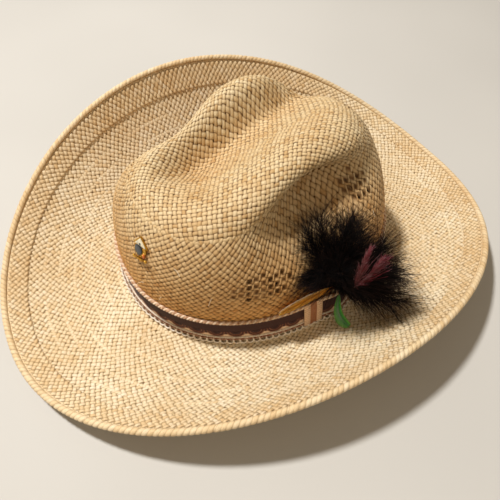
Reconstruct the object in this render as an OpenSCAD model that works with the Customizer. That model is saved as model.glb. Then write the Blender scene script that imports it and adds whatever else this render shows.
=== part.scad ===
/* [Crown] */
// Half the width of the crown at the break line, outside
crown_half_width = 88; // [84:0.5:92]
// Half the length of the crown at the break line, outside
crown_half_length = 104; // [100:0.5:108]
// Height of the break line, where crown meets brim, above the table
break_height = 11.5; // [10:0.5:14]
// Height of the uncreased crown above the break line
crown_height = 114; // [105:1:120]
// How much higher the back of the crown is than its middle
crown_back_rise = 13; // [8:1:16]
// How far the top of the crown leans to the front
crown_lean = 11; // [6:1:14]
// Depth of the long crease along the top
crease_depth = 30; // [20:1:34]
// How far the top ridge is drawn in on the wearer's left side
left_pull = 19; // [8:1:20]
// Depth of the hollow under that ridge
left_dent = 30; // [8:1:32]
// Depth of the dent pressed into the wearer's right side
right_dent = 30; // [8:1:32]
// Thickness of the woven straw
straw_thickness = 1.5; // [1.2:0.1:1.8]

/* [Brim] */
// Half the width of the brim, rolled up as it is worn
brim_half_width = 152; // [146:1:160]
// Half the length of the brim, front to back
brim_half_length = 195; // [188:1:202]
// Height of the rim on the wearer's left side
rim_left = 49; // [40:1:60]
// Height of the rim on the wearer's right side
rim_right = 76; // [60:1:82]
// Height of the rim at the front
rim_front = 8; // [6:0.5:12]
// Height of the rim at the back
rim_back = 6; // [5:0.5:12]
// Width of the woven strip folded over along the rim
fold_width = 13; // [10:1:16]
// Radius of the braided roll along the rim
braid_radius = 2.1; // [1.8:0.1:2.4]
// Radius of the steel wire inside the braided roll
wire_radius = 0.8; // [0.6:0.1:1]

/* [Hat band] */
// Height of the hat band's woven ribbon
band_height = 19; // [16:1:22]
// Thickness of the hat band's woven ribbon
band_thickness = 1.4; // [1.2:0.1:1.6]
// Width of the keeper that covers the band's ends
keeper_width = 12; // [10:1:13]

/* [Sweatband] */
// Height of the leather sweatband inside the crown
sweatband_height = 33; // [28:1:36]
// Thickness of the sweatband's leather
sweatband_thickness = 1.1; // [0.9:0.1:1.3]
// Number of stitches that hold the sweatband
stitch_count = 72; // [48:4:96]

/* [Pin] */
// Height of the pin on the front of the crown
pin_height = 80; // [76:1:84]
// Place of the pin round the crown, in degrees from the wearer's left
pin_angle = -73; // [-78:1:-68]
// Height of the pin's plate
pin_length = 18; // [16:1:20]
// Radius of the pin's post
post_radius = 0.55; // [0.5:0.05:0.6]
// Length of the pin's post behind the plate
post_length = 11; // [10:0.5:12]

/* [Plume] */
// Place of the plume round the crown, in degrees from the wearer's left
plume_angle = 8; // [7:0.5:9]
// Length of the black feather fan
fan_length = 66; // [58:1:68]

/* [Hidden] */

around = 84;            // points round every ring
wall_rings = 10;        // rings up the crown's wall
top_rings = 9;          // rings over the crown's top
brim_rings = 8;         // rings across the brim, inside the folded strip
shoulder = 0.85;        // share of the crown's height where the wall turns into the top
wall_power = 4.4;       // squareness of the crown's profile, across
top_power = 2.6;        // squareness of the crown's profile, upwards
base_oval = 2.1;        // squareness of the oval at the break line
top_oval = 2.3;         // squareness of the oval at the top
rim_oval = 2.06;        // squareness of the rim's outline
taper_x = 0.03;         // how much narrower the top is than the break line
taper_y = 0.05;         // how much shorter the top is than the break line
flat_sink = 0.25;       // the brim is pressed flat by this much where it rests
gap = 0.1;              // play between layers that are sewn together
fit_gap = 0.07;         // running play between the pin's post and its holes
band_low = break_height + 5.2;
stem_bulge = 2.5;       // how far the band stands off over the tucked quills

function smooth(a, b, x) = let(t = min(1, max(0, (x - a) / (b - a)))) t * t * (3 - 2 * t);
function bell(x, centre, width) = exp(-pow((x - centre) / width, 2));
function side_share(x) = let(e = exp(x / 20)) (e - 1) / (e + 1);
function unit(v) = v / norm(v);
function oval(th, power) = pow(pow(abs(cos(th)), power) + pow(abs(sin(th)), power), -1 / power);

// Share of the full radius and of the full height, from the break line (0) to the middle of the top (1)
shoulder_radius = pow(1 - pow(shoulder, top_power), 1 / wall_power);
function profile(u) = u < 0.5
    ? let(h = 2 * u * shoulder) [pow(1 - pow(h, top_power), 1 / wall_power), h]
    : let(r = shoulder_radius * max(0, 2 - 2 * u)) [r, pow(1 - pow(r, wall_power), 1 / top_power)];

// Depth of the long crease, which runs off to the right at the back
function crease(x, y, h) =
    let(across = x + 22 + 0.27 * y,
        reach = smooth(-95, -35, y) * (1 - smooth(38, 92, y)),
        width = across < 0 ? 14 : 38)
    crease_depth * bell(across, 0, width) * reach * smooth(0.3, 0.9, h);

function crown_xyz(th, u) =
    let(p = profile(u), r = p[0], h = p[1],
        q = r * oval(th, base_oval + (top_oval - base_oval) * h),
        x0 = crown_half_width * q * (1 - taper_x * h) * cos(th),
        y = crown_half_length * q * (1 - taper_y * h) * sin(th) - crown_lean * h,
        z0 = (crown_height + crown_back_rise * y / crown_half_length) * h,
        hollow = bell(z0, 85, z0 > 85 ? 12 : 27),
        left = bell(y, 16, 44) * (left_pull * smooth(40, 100, z0) + left_dent * hollow) * max(0, side_share(x0)),
        right = right_dent * bell(y, -42, 40) * bell(z0, 88, 32) * max(0, -side_share(x0)),
        x = x0 - left + right)
    [x, y, z0 - crease(x, y, h) + break_height];

// Outward direction on the crown, by finite steps
function crown_normal(th, u) =
    let(v = min(0.97, max(0.01, u)))
    unit(cross(crown_xyz(th + 0.5, v) - crown_xyz(th - 0.5, v),
        crown_xyz(th, v + 0.005) - crown_xyz(th, v - 0.005)));

// A point at distance "out" from the crown's outer face
function off_crown(th, u, out) = crown_xyz(th, u) + out * crown_normal(th, u);

// Place up the wall that lies at height z above the table
function wall_place(th, z) =
    (z - break_height) / (crown_height + crown_back_rise * sin(th)) / shoulder / 2;

// Upper face of the brim, from the crown (0) to the rim (1)
brim_inset = straw_thickness + 0.1;
function brim_low(t) = sin(180 * min(1, max(0, t)));
function brim_xyz(th, t) =
    let(side = cos(th) * cos(th),
        end = sin(th) < 0 ? rim_front : rim_back,
        rim = end * (1 - side) + (cos(th) > 0 ? rim_left : rim_right) * side,
        dip = (break_height + end) / 2 - straw_thickness + flat_sink,
        rise = pow(max(0, t), 1 + 1.2 * side),
        inner = oval(th, base_oval),
        outer = oval(th, rim_oval),
        x0 = (crown_half_width - brim_inset) * inner * cos(th),
        y0 = (crown_half_length - brim_inset) * inner * sin(th),
        x1 = (brim_half_width - braid_radius) * outer * cos(th),
        y1 = (brim_half_length - braid_radius) * outer * sin(th))
    [x0 + (x1 - x0) * t, y0 + (y1 - y0) * t,
        break_height * (1 - rise) + rim * rise - dip * (1 - side) * brim_low(t) - gap];
function brim_normal(th, t) =
    unit(cross(brim_xyz(th, t + 0.01) - brim_xyz(th, t - 0.01),
        brim_xyz(th + 0.5, t) - brim_xyz(th - 0.5, t)));
function off_brim(th, t, up) = brim_xyz(th, t) + up * brim_normal(th, t);

function step_angle(j) = 360 * j / around;
function ring_on_crown(u, out) = [for (j = [0:around - 1]) off_crown(step_angle(j), u, out)];
function ring_at_height(z, out) = [for (j = [0:around - 1])
    let(th = step_angle(j)) off_crown(th, wall_place(th, z), out)];
function ring_on_brim(t, up) = [for (j = [0:around - 1]) off_brim(step_angle(j), t, up)];

// Joins rings of points into the triangles of a wall
function wall_faces(start, rings, n, turned) = [for (i = [0:rings - 2], j = [0:n - 1])
    let(a = start + i * n + j, b = start + i * n + (j + 1) % n, c = b + n, d = a + n)
    each turned ? [[a, c, d], [a, b, c]] : [[a, d, c], [a, c, b]]];
function rim_faces(first, second, n) = [for (j = [0:n - 1])
    let(a = first + j, b = first + (j + 1) % n, c = second + (j + 1) % n, d = second + j)
    each [[a, b, c], [a, c, d]]];
function cap_faces(ring, tip, n, turned) = [for (j = [0:n - 1])
    turned ? [ring + j, ring + (j + 1) % n, tip] : [ring + j, tip, ring + (j + 1) % n]];
function flat_list(rings) = [for (ring = rings) each ring];

// A closed strip between two stacks of rings that are open at both ends
module ring_strip(outer, inner) {
    n = len(outer[0]);
    m = len(outer);
    last = (m - 1) * n;
    polyhedron(points = concat(flat_list(outer), flat_list(inner)),
        faces = concat(wall_faces(0, m, n, false), wall_faces(m * n, m, n, true),
            rim_faces(0, m * n, n), rim_faces(m * n + last, last, n)));
}

// A closed solid through a row of cross-sections, with a tip at each end
module spindle(sections, start_tip, end_tip) {
    n = len(sections[0]);
    m = len(sections);
    polyhedron(points = concat(flat_list(sections), [start_tip, end_tip]),
        faces = concat(wall_faces(0, m, n, false), cap_faces(0, m * n, n, true),
            cap_faces((m - 1) * n, m * n + 1, n, false)));
}

// A ring-shaped rod of the given radius along a closed path
module loop_rod(path, radius, sides) {
    n = len(path);
    points = [for (j = [0:n - 1])
        let(along = unit(path[(j + 1) % n] - path[(j + n - 1) % n]),
            out = unit(cross(along, [0, 0, 1])),
            up = cross(out, along))
        each [for (k = [0:sides - 1]) path[j] + radius * (cos(360 * k / sides) * out + sin(360 * k / sides) * up)]];
    polyhedron(points = points, faces = [for (j = [0:n - 1], k = [0:sides - 1])
        let(next = (j + 1) % n, turn = (k + 1) % sides,
            a = j * sides + k, b = j * sides + turn, c = next * sides + turn, d = next * sides + k)
        each [[a, b, c], [a, c, d]]]);
}

// Turns +Z to a direction, and moves to a place
module facing(place, direction) {
    translate(place)
        rotate([0, acos(direction[2]), atan2(direction[1], direction[0])])
            children();
}

// ---- straw body ----

crown_steps = concat([for (i = [0:wall_rings]) 0.5 * i / wall_rings],
    [for (i = [1:top_rings - 1]) 0.5 + 0.5 * i / top_rings]);

pin_u = wall_place(pin_angle, pin_height);
pin_place = crown_xyz(pin_angle, pin_u);
pin_out = crown_normal(pin_angle, pin_u);

module crown_shell() {
    m = len(crown_steps);
    outer = [for (u = crown_steps) ring_on_crown(u, 0)];
    inner = [for (u = crown_steps) ring_on_crown(u, -straw_thickness)];
    tip = crown_xyz(0, 1);
    inner_start = m * around;
    last = (m - 1) * around;
    polyhedron(
        points = concat(flat_list(outer), flat_list(inner), [tip, tip - [0, 0, straw_thickness]]),
        faces = concat(wall_faces(0, m, around, false), wall_faces(inner_start, m, around, true),
            rim_faces(0, inner_start, around),
            cap_faces(last, 2 * m * around, around, false),
            cap_faces(inner_start + last, 2 * m * around + 1, around, true)));
}

module crown() {
    color("burlywood")
        difference() {
            crown_shell();
            facing(pin_place, pin_out)
                translate([0, 0, -5])
                    cylinder(h = 10, r = post_radius + fit_gap, $fn = 24);
        }
}

module brim() {
    steps = concat([for (i = [0:brim_rings - 1]) fold_inner * i / brim_rings], fold_steps, [1]);
    color("wheat")
        difference() {
            ring_strip([for (t = steps) ring_on_brim(t, -straw_thickness)],
                [for (t = steps) ring_on_brim(t, 0)]);
            translate([-200, -250, -20])
                cube([400, 500, 20]);
        }
}

// The rim's strip stops short of the braided roll
brim_reach = brim_half_length - crown_half_length;
fold_outer = 1 - 0.6 / brim_reach;
fold_inner = fold_outer - fold_width / brim_reach;
fold_steps = [fold_inner, (fold_inner + fold_outer) / 2, fold_outer];

module brim_edge_fold() {
    color("tan")
        ring_strip([for (t = fold_steps) ring_on_brim(t, gap)],
            [for (t = fold_steps) ring_on_brim(t, gap + 1.1)]);
}

braid_path = [for (j = [0:around - 1])
    let(th = step_angle(j)) off_brim(th, 1, 0) + (braid_radius + gap) * unit([
        brim_xyz(th, 1)[0] - brim_xyz(th, 0.96)[0],
        brim_xyz(th, 1)[1] - brim_xyz(th, 0.96)[1],
        brim_xyz(th, 1)[2] - brim_xyz(th, 0.96)[2]])];

module brim_edge_braid() {
    color("burlywood")
        difference() {
            loop_rod(braid_path, braid_radius, 8);
            loop_rod(braid_path, wire_radius + gap, 6);
        }
}

module brim_wire() {
    color("silver")
        loop_rod(braid_path, wire_radius, 6);
}

// ---- hat band ----

// The band stands off the crown where the plume's quills are tucked behind it
function band_off(th) = gap + stem_bulge * bell(th > 180 ? th - 360 : th, plume_angle, 5.5);
function band_ring(z, out) = [for (j = [0:around - 1])
    let(th = step_angle(j)) off_crown(th, wall_place(th, z), band_off(th) + out)];

module hat_band() {
    rows = [for (i = [0:3]) band_low + band_height * i / 3];
    color("saddlebrown")
        ring_strip([for (z = rows) band_ring(z, band_thickness)], [for (z = rows) band_ring(z, 0)]);
}

module band_top_cord() {
    color("tan")
        loop_rod(band_ring(band_low + band_height + 1.4, 1.2), 1.15, 8);
}

module band_lace_edge() {
    rows = [band_low - 5, band_low - gap];
    color("wheat")
        ring_strip([for (z = rows) band_ring(z, 1.3)], [for (z = rows) band_ring(z, 0.5)]);
}

keeper_half = 0.5 * keeper_width / crown_half_width * 180 / PI;
module band_keeper() {
    steps = [for (k = [0:4]) -2.6 - keeper_half + 2 * keeper_half * k / 4];
    rows = [for (i = [0:3]) break_height + 1.5 + 27 * i / 3];
    outside = [for (z = rows) [for (th = steps) off_crown(th, wall_place(th, z), band_off(th) + band_thickness + 2.5)]];
    inside = [for (z = rows) [for (th = steps) off_crown(th, wall_place(th, z), band_off(th) + band_thickness + 1.4)]];
    sections = [for (i = [0:3]) concat(outside[i], [for (k = [4:-1:0]) inside[i][k]])];
    color("peru")
        spindle(sections, (sections[0][2] + sections[0][7]) / 2, (sections[3][2] + sections[3][7]) / 2);
}

module band_tacks() {
    color("wheat")
        for (th = [30:60:330])
            let(place = off_crown(th, wall_place(th, band_low + 3), 0))
            facing(place, crown_normal(th, wall_place(th, band_low + 3)))
                translate([0, 0, 2 * gap + band_thickness + 0.4])
                    rotate([0, 90, 0])
                        cylinder(h = 2.4, r = 0.35, center = true, $fn = 16);
}

// ---- sweatband ----

sweat_low = break_height + gap;
module sweatband() {
    rows = [for (i = [0:4]) i / 4];
    function inner_off(s) = -straw_thickness - 0.6 - 1.6 * s;
    color("sienna")
        ring_strip(
            [for (s = rows) ring_at_height(sweat_low + sweatband_height * s, inner_off(s))],
            [for (s = rows) ring_at_height(sweat_low + sweatband_height * s, inner_off(s) - sweatband_thickness)]);
}

module sweatband_stitching() {
    color("ivory")
        for (k = [0:stitch_count - 1])
            let(th = 360 * (k + 0.5) / stitch_count, u = wall_place(th, sweat_low + 2.6))
            facing(off_crown(th, u, -straw_thickness - sweatband_thickness - 1.25), crown_normal(th, u))
                rotate([90, 0, 0])
                    cylinder(h = 3.2, r = 0.3, center = true, $fn = 16);
}

bow_place = off_crown(90, wall_place(90, sweat_low + 7), -straw_thickness - sweatband_thickness - 3.05);
module bow_half(side) {
    translate(bow_place)
        translate([side * 5.2, 0, 0])
            rotate([90, 0, 0])
                rotate([0, 0, side * 8])
                    difference() {
                        linear_extrude(height = 1.6, center = true)
                            polygon([[-side * 4.4, -1.1], [side * 4.6, -3.2], [side * 5.4, 0],
                                [side * 4.6, 3.2], [-side * 4.4, 1.1]]);
                        translate([side * 1.6, 0, 0])
                            cylinder(h = 3, r = 1, center = true, $fn = 24);
                    }
}

module sweatband_bow() {
    color("saddlebrown") {
        bow_half(-1);
        bow_half(1);
        translate(bow_place)
            cube([2.6, 2.2, 3.4], center = true);
    }
}

// ---- plume, which is tucked behind the hat band ----

stem_low = band_low + 3;
stem_u = wall_place(plume_angle, band_low + band_height);
stem_foot = off_crown(plume_angle, wall_place(plume_angle, stem_low), gap + stem_bulge / 2);
stem_head = off_crown(plume_angle, stem_u, gap + stem_bulge / 2);
stem_dir = unit(stem_head - stem_foot);
stem_out = unit(crown_normal(plume_angle, stem_u) - (crown_normal(plume_angle, stem_u) * stem_dir) * stem_dir);
stem_back = cross(stem_dir, stem_out);

// A point from the top of the stem: back along the crown, out from it, and up along the stem
function plume_xyz(back, out, up) = stem_head + back * stem_back + out * stem_out + up * stem_dir;

module plume_quills() {
    color("ivory")
        for (k = [-1:1])
            facing(stem_foot + 1.5 * k * stem_back, stem_dir)
                cylinder(h = norm(stem_head - stem_foot) + 5.6, r = 0.6, $fn = 20);
}

module plume_binding() {
    color("saddlebrown")
        translate(plume_xyz(0, 0, 6 + gap))
            rotate([0, acos(stem_dir[2]) * -1, 0])
                rotate([0, 0, plume_angle])
                    difference() {
                        linear_extrude(height = 5)
                            polygon([for (k = [0:23]) [1.6 * cos(15 * k), 4 * sin(15 * k)]]);
                        translate([0, 0, -1])
                            linear_extrude(height = 7)
                                polygon([for (k = [0:23]) [0.7 * cos(15 * k), 2.3 * sin(15 * k)]]);
                    }
}

// Four-sided section of a flat feather, square to its run
function feather_section(place, along, flat_side, half_width, half_thick) =
    let(a = unit(along), s = unit(flat_side - (flat_side * a) * a), t = cross(a, s))
    [place + half_width * s, place + half_thick * t, place - half_width * s, place - half_thick * t];

// A flat feather along a curve of four guide points
function curve_at(guide, s) = pow(1 - s, 3) * guide[0] + 3 * s * pow(1 - s, 2) * guide[1]
    + 3 * s * s * (1 - s) * guide[2] + pow(s, 3) * guide[3];
module feather(guide, flat_side, half_width, half_thick) {
    steps = [for (k = [1:9]) k / 10];
    spindle([for (s = steps) feather_section(curve_at(guide, s),
            curve_at(guide, s + 0.05) - curve_at(guide, s - 0.05), flat_side,
            half_width * pow(sin(180 * pow(s, 0.8)), 0.6), half_thick)],
        guide[0], guide[3]);
}

// The fan's tips run from the front, over the top and back to the lowest strands
fan_steps = 10;
fan_tips = [off_crown(-8, wall_place(-8, 66), 7), [58, 16, 100], [96, 58, 88], [113, 58, 34]];
fan_root = plume_xyz(0, 2.5, 11);
function fan_xyz(turn, s, lift) =
    let(tip = curve_at(fan_tips, turn))
    fan_root + (s * fan_length / 66) * (tip - fan_root) + lift * unit(stem_out + [0, 0, 0.3]);
function fan_thick(turn, s) =
    1 + 7 * s * (1 - pow(s, 3)) * pow(sin(180 * min(0.95, max(0.05, turn))), 0.5);

module marabou_black() {
    turns = [for (k = [0:fan_steps]) k / fan_steps];
    sections = [for (k = [0:fan_steps])
        concat([for (s = [0.05:0.19:1]) fan_xyz(turns[k], s, fan_thick(turns[k], s))],
            [for (s = [1:-0.19:0.04]) fan_xyz(turns[k], s, -fan_thick(turns[k], s) * 0.45)])];
    color("black")
        spindle([for (k = [fan_steps:-1:0]) sections[k]],
            fan_xyz(1.03, 0.5, 1), fan_xyz(-0.03, 0.5, 1));
}

module feather_red() {
    color("firebrick")
        feather([plume_xyz(6, 15.5, 10), plume_xyz(14, 21, 18), plume_xyz(26, 27, 26), plume_xyz(40, 33, 30)],
            stem_dir, 3.2, 0.6);
}

module feather_green() {
    color("forestgreen")
        feather([plume_xyz(-1.5, 7, 9.4), plume_xyz(-3.5, 9.6, 2), plume_xyz(-3.5, 12.5, -8), plume_xyz(1, 17.5, -19)],
            stem_back, 3.4, 0.5);
}

module feather_gold() {
    guide = [for (step = [[-4.2, 8], [-12, 7], [-20, 8.5], [-31, 5.6]])
        let(th = plume_angle + step[0], z = band_low + band_height + step[1])
        off_crown(th, wall_place(th, z), 2.2)];
    color("goldenrod")
        feather(guide, [0, 0, 1], 4.6, 0.6);
}

// ---- pin, whose post passes through the straw ----

plate_back = 0.6;       // from the straw to the back of the plate
plate_thick = 1.2;
pin_tilt = 14;
plate_front = plate_back + plate_thick;

module on_pin() {
    facing(pin_place, pin_out)
        rotate([0, 0, 90 + pin_tilt])
            children();
}

module pin_plate() {
    color("gold")
        on_pin()
            translate([0, 0, plate_back])
                linear_extrude(height = plate_thick)
                    union() {
                        circle(r = pin_length * 0.3, $fn = 40);
                        polygon([[-pin_length * 0.36, pin_length * 0.18], [pin_length * 0.42, pin_length * 0.10],
                            [pin_length * 0.05, pin_length * 0.52]]);
                        translate([0, -pin_length * 0.34])
                            square([pin_length * 0.16, pin_length * 0.3], center = true);
                    }
}

module pin_dark_enamel() {
    color("darkslategray")
        on_pin()
            translate([-pin_length * 0.06, -pin_length * 0.03, plate_front])
                difference() {
                    cylinder(h = 0.7, r = pin_length * 0.2, $fn = 40);
                    translate([0, 0, -1])
                        cylinder(h = 3, r = pin_length * 0.05, $fn = 24);
                }
}

module pin_cream_enamel() {
    color("ivory")
        on_pin()
            translate([0, 0, plate_front])
                linear_extrude(height = 0.8)
                    polygon([[-pin_length * 0.22, pin_length * 0.205], [pin_length * 0.34, pin_length * 0.14],
                        [pin_length * 0.06, pin_length * 0.46]]);
}

module pin_bar() {
    color("gold")
        on_pin()
            translate([0, -pin_length * 0.36, plate_front])
                linear_extrude(height = 0.9)
                    union() {
                        square([pin_length * 0.62, pin_length * 0.08], center = true);
                        translate([-pin_length * 0.31, 0])
                            circle(r = pin_length * 0.06, $fn = 24);
                        translate([pin_length * 0.31, 0])
                            circle(r = pin_length * 0.06, $fn = 24);
                    }
}

module pin_post() {
    color("silver")
        facing(pin_place, pin_out)
            translate([0, 0, plate_back - post_length]) {
                cylinder(h = post_length, r = post_radius, $fn = 32);
                translate([0, 0, -1.2])
                    cylinder(h = 1.2, r1 = 0.08, r2 = post_radius, $fn = 32);
            }
}

clutch_top = -straw_thickness - 0.8;
module clutch_cap() {
    color("goldenrod")
        facing(pin_place, pin_out)
            translate([0, 0, clutch_top - 2.4])
                difference() {
                    union() {
                        translate([0, 0, 1.8])
                            cylinder(h = 0.6, r = 5.4, $fn = 48);
                        cylinder(h = 1.9, r = 3.2, $fn = 48);
                    }
                    translate([0, 0, -1])
                        cylinder(h = 5, r = post_radius + fit_gap, $fn = 24);
                }
}

module clutch_wings() {
    color("goldenrod")
        facing(pin_place, pin_out)
            translate([0, 0, clutch_top - 2.4])
                for (side = [-1, 1])
                    translate([side * 4.2, 0, 0])
                        rotate([0, side * 24, 0])
                            translate([0, 0, -1.9])
                                linear_extrude(height = 3.4)
                                    square([0.5, 5.2], center = true);
}

crown();
brim();
brim_edge_fold();
brim_edge_braid();
brim_wire();
hat_band();
band_top_cord();
band_lace_edge();
band_keeper();
band_tacks();
sweatband();
sweatband_stitching();
sweatband_bow();
plume_quills();
plume_binding();
marabou_black();
feather_red();
feather_green();
feather_gold();
pin_plate();
pin_dark_enamel();
pin_cream_enamel();
pin_bar();
pin_post();
clutch_cap();
clutch_wings();
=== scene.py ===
import math

import bpy
import numpy as np
from mathutils import Matrix, Vector


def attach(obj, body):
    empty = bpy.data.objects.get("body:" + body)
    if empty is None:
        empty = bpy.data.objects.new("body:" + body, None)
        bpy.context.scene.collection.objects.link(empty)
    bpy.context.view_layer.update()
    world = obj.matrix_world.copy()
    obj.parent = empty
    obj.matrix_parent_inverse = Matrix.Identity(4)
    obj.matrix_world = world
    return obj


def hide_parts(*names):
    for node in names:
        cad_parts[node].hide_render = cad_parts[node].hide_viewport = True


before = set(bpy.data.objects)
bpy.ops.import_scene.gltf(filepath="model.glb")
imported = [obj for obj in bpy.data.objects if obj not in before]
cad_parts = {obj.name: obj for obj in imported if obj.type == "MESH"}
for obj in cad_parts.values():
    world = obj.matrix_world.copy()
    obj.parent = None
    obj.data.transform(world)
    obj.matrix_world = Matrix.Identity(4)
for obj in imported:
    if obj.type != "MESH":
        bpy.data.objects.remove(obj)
bpy.context.scene.view_settings.view_transform = "Standard"
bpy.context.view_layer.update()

# Everything below is worked out in millimetres and turned into metres when a mesh is made.
MM = 0.001
TURN = 2 * math.pi
rng = np.random.default_rng(867)

# ---- driving dimensions, the same as in the CAD source ----
CROWN_HALF_WIDTH, CROWN_HALF_LENGTH = 88.0, 104.0
BREAK_HEIGHT, CROWN_HEIGHT, CROWN_BACK_RISE, CROWN_LEAN = 11.5, 114.0, 13.0, 11.0
CREASE_DEPTH, LEFT_PULL, LEFT_DENT, RIGHT_DENT = 30.0, 19.0, 30.0, 30.0
DENT_HEIGHT, DENT_OVER, DENT_UNDER = 85, 12, 27
LEFT_DENT_Y, LEFT_DENT_LONG = 16, 44
RIGHT_DENT_Y, RIGHT_DENT_LONG, RIGHT_DENT_HEIGHT, RIGHT_DENT_TALL = -42, 40, 88, 32
CREASE_SIDE, CREASE_SLANT, CREASE_RIGHT, CREASE_LEFT = 22, 0.27, 14, 38
CREASE_STARTS, CREASE_ENDS = (-95, -35), (38, 92)
STRAW = 1.5
BRIM_HALF_WIDTH, BRIM_HALF_LENGTH = 152.0, 195.0
RIM_LEFT, RIM_RIGHT, RIM_FRONT, RIM_BACK = 49.0, 76.0, 8.0, 6.0
FOLD_WIDTH, BRAID_RADIUS = 13.0, 2.1
BAND_LOW, BAND_HEIGHT, BAND_THICK = 16.7, 19.0, 1.4
SHOULDER, WALL_POWER, TOP_POWER = 0.85, 4.4, 2.6
BASE_OVAL, TOP_OVAL, RIM_OVAL = 2.1, 2.3, 2.06
TAPER_X, TAPER_Y, FLAT_SINK, GAP = 0.03, 0.05, 0.25, 0.1
BRIM_INSET = STRAW + GAP
BRIM_REACH = BRIM_HALF_LENGTH - CROWN_HALF_LENGTH
FOLD_OUTER = 1 - 0.6 / BRIM_REACH
FOLD_INNER = FOLD_OUTER - FOLD_WIDTH / BRIM_REACH
PLUME_ANGLE, STEM_BULGE = math.radians(8), 2.5


def smooth(a, b, x):
    t = np.clip((x - a) / (b - a), 0, 1)
    return t * t * (3 - 2 * t)


def bell(x, centre, width):
    return np.exp(-(((x - centre) / width) ** 2))


def unit(v):
    return v / np.maximum(np.linalg.norm(v, axis=-1, keepdims=True), 1e-9)


def stack(x, y, z):
    return np.stack(np.broadcast_arrays(x, y, z), axis=-1)


def oval(th, power):
    return (np.abs(np.cos(th)) ** power + np.abs(np.sin(th)) ** power) ** (-1 / power)


# ---- the crown and the brim as surfaces, the same as in the CAD source ----
SHOULDER_RADIUS = (1 - SHOULDER**TOP_POWER) ** (1 / WALL_POWER)


def crown_point(th, u):
    u = np.clip(u, 0, 1)
    low = np.clip(2 * u * SHOULDER, 0, SHOULDER)
    far = SHOULDER_RADIUS * np.clip(2 - 2 * u, 0, 1)
    wall = u < 0.5
    r = np.where(wall, (1 - low**TOP_POWER) ** (1 / WALL_POWER), far)
    h = np.where(wall, low, (1 - far**WALL_POWER) ** (1 / TOP_POWER))
    q = r * oval(th, BASE_OVAL + (TOP_OVAL - BASE_OVAL) * h)
    x0 = CROWN_HALF_WIDTH * q * (1 - TAPER_X * h) * np.cos(th)
    y = CROWN_HALF_LENGTH * q * (1 - TAPER_Y * h) * np.sin(th) - CROWN_LEAN * h
    z0 = (CROWN_HEIGHT + CROWN_BACK_RISE * y / CROWN_HALF_LENGTH) * h
    side = np.tanh(x0 / 40)
    hollow = bell(z0, DENT_HEIGHT, np.where(z0 > DENT_HEIGHT, DENT_OVER, DENT_UNDER))
    push = LEFT_PULL * smooth(40, 100, z0) + LEFT_DENT * hollow
    left = bell(y, LEFT_DENT_Y, LEFT_DENT_LONG) * push * np.maximum(0, side)
    right_hollow = RIGHT_DENT * bell(y, RIGHT_DENT_Y, RIGHT_DENT_LONG)
    right_hollow = right_hollow * bell(z0, RIGHT_DENT_HEIGHT, RIGHT_DENT_TALL)
    x = x0 - left + right_hollow * np.maximum(0, -side)
    across = x + CREASE_SIDE + CREASE_SLANT * y
    reach = smooth(*CREASE_STARTS, y) * (1 - smooth(*CREASE_ENDS, y))
    profile = bell(across, 0, np.where(across < 0, CREASE_RIGHT, CREASE_LEFT))
    crease = CREASE_DEPTH * profile * reach * smooth(0.3, 0.9, h)
    return stack(x, y, z0 - crease + BREAK_HEIGHT)


def crown_normal(th, u):
    v = np.clip(u, 0.01, 0.97)
    step = math.radians(0.5)
    return unit(np.cross(crown_point(th + step, v) - crown_point(th - step, v),
                         crown_point(th, v + 0.005) - crown_point(th, v - 0.005)))


def wall_place(th, z):
    return (z - BREAK_HEIGHT) / (CROWN_HEIGHT + CROWN_BACK_RISE * np.sin(th)) / SHOULDER / 2


def off_crown(th, z, out):
    """A point on the crown's wall at height z, a distance out from it."""
    u = wall_place(th, z)
    return crown_point(th, u) + np.asarray(out)[..., None] * crown_normal(th, u)


def band_off(th):
    return GAP + STEM_BULGE * bell((th + math.pi) % TURN - math.pi, PLUME_ANGLE, math.radians(5.5))


def brim_point(th, t):
    t = np.clip(t, 0, 1.02)
    side = np.cos(th) ** 2
    end = np.where(np.sin(th) < 0, RIM_FRONT, RIM_BACK)
    rim = end * (1 - side) + np.where(np.cos(th) > 0, RIM_LEFT, RIM_RIGHT) * side
    dip = (BREAK_HEIGHT + end) / 2 - STRAW + FLAT_SINK
    rise = t ** (1 + 1.2 * side)
    inner, outer = oval(th, BASE_OVAL), oval(th, RIM_OVAL)
    x0 = (CROWN_HALF_WIDTH - BRIM_INSET) * inner * np.cos(th)
    y0 = (CROWN_HALF_LENGTH - BRIM_INSET) * inner * np.sin(th)
    x1 = (BRIM_HALF_WIDTH - BRAID_RADIUS) * outer * np.cos(th)
    y1 = (BRIM_HALF_LENGTH - BRAID_RADIUS) * outer * np.sin(th)
    low = np.sin(math.pi * np.clip(t, 0, 1))
    z = BREAK_HEIGHT * (1 - rise) + rim * rise - dip * (1 - side) * low - GAP
    return stack(x0 + (x1 - x0) * t, y0 + (y1 - y0) * t, z)


def brim_normal(th, t):
    step = math.radians(0.5)
    return unit(np.cross(brim_point(th, t + 0.01) - brim_point(th, t - 0.01),
                         brim_point(th + step, t) - brim_point(th - step, t)))


# ---- meshes ----
def make_piece(name, verts, faces, body, slot, material, uv=None, **values):
    """A mesh piece from points in millimetres, with one value a point for each named attribute."""
    mesh = bpy.data.meshes.new(name)
    mesh.from_pydata((np.asarray(verts, float) * MM).tolist(), [], [list(map(int, f)) for f in faces])
    mesh.polygons.foreach_set("use_smooth", [True] * len(mesh.polygons))
    for key, value in values.items():
        layer = mesh.attributes.new(key, "FLOAT", "POINT")
        layer.data.foreach_set("value", np.asarray(value, float).ravel())
    if uv is not None:
        corners = np.zeros(len(mesh.loops), int)
        mesh.loops.foreach_get("vertex_index", corners)
        mesh.uv_layers.new(name="UVMap").data.foreach_set("uv", np.asarray(uv, float)[corners].ravel())
    mesh.materials.append(material)
    piece = bpy.data.objects.new(name, mesh)
    bpy.context.collection.objects.link(piece)
    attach(piece, body)
    return piece


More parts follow.
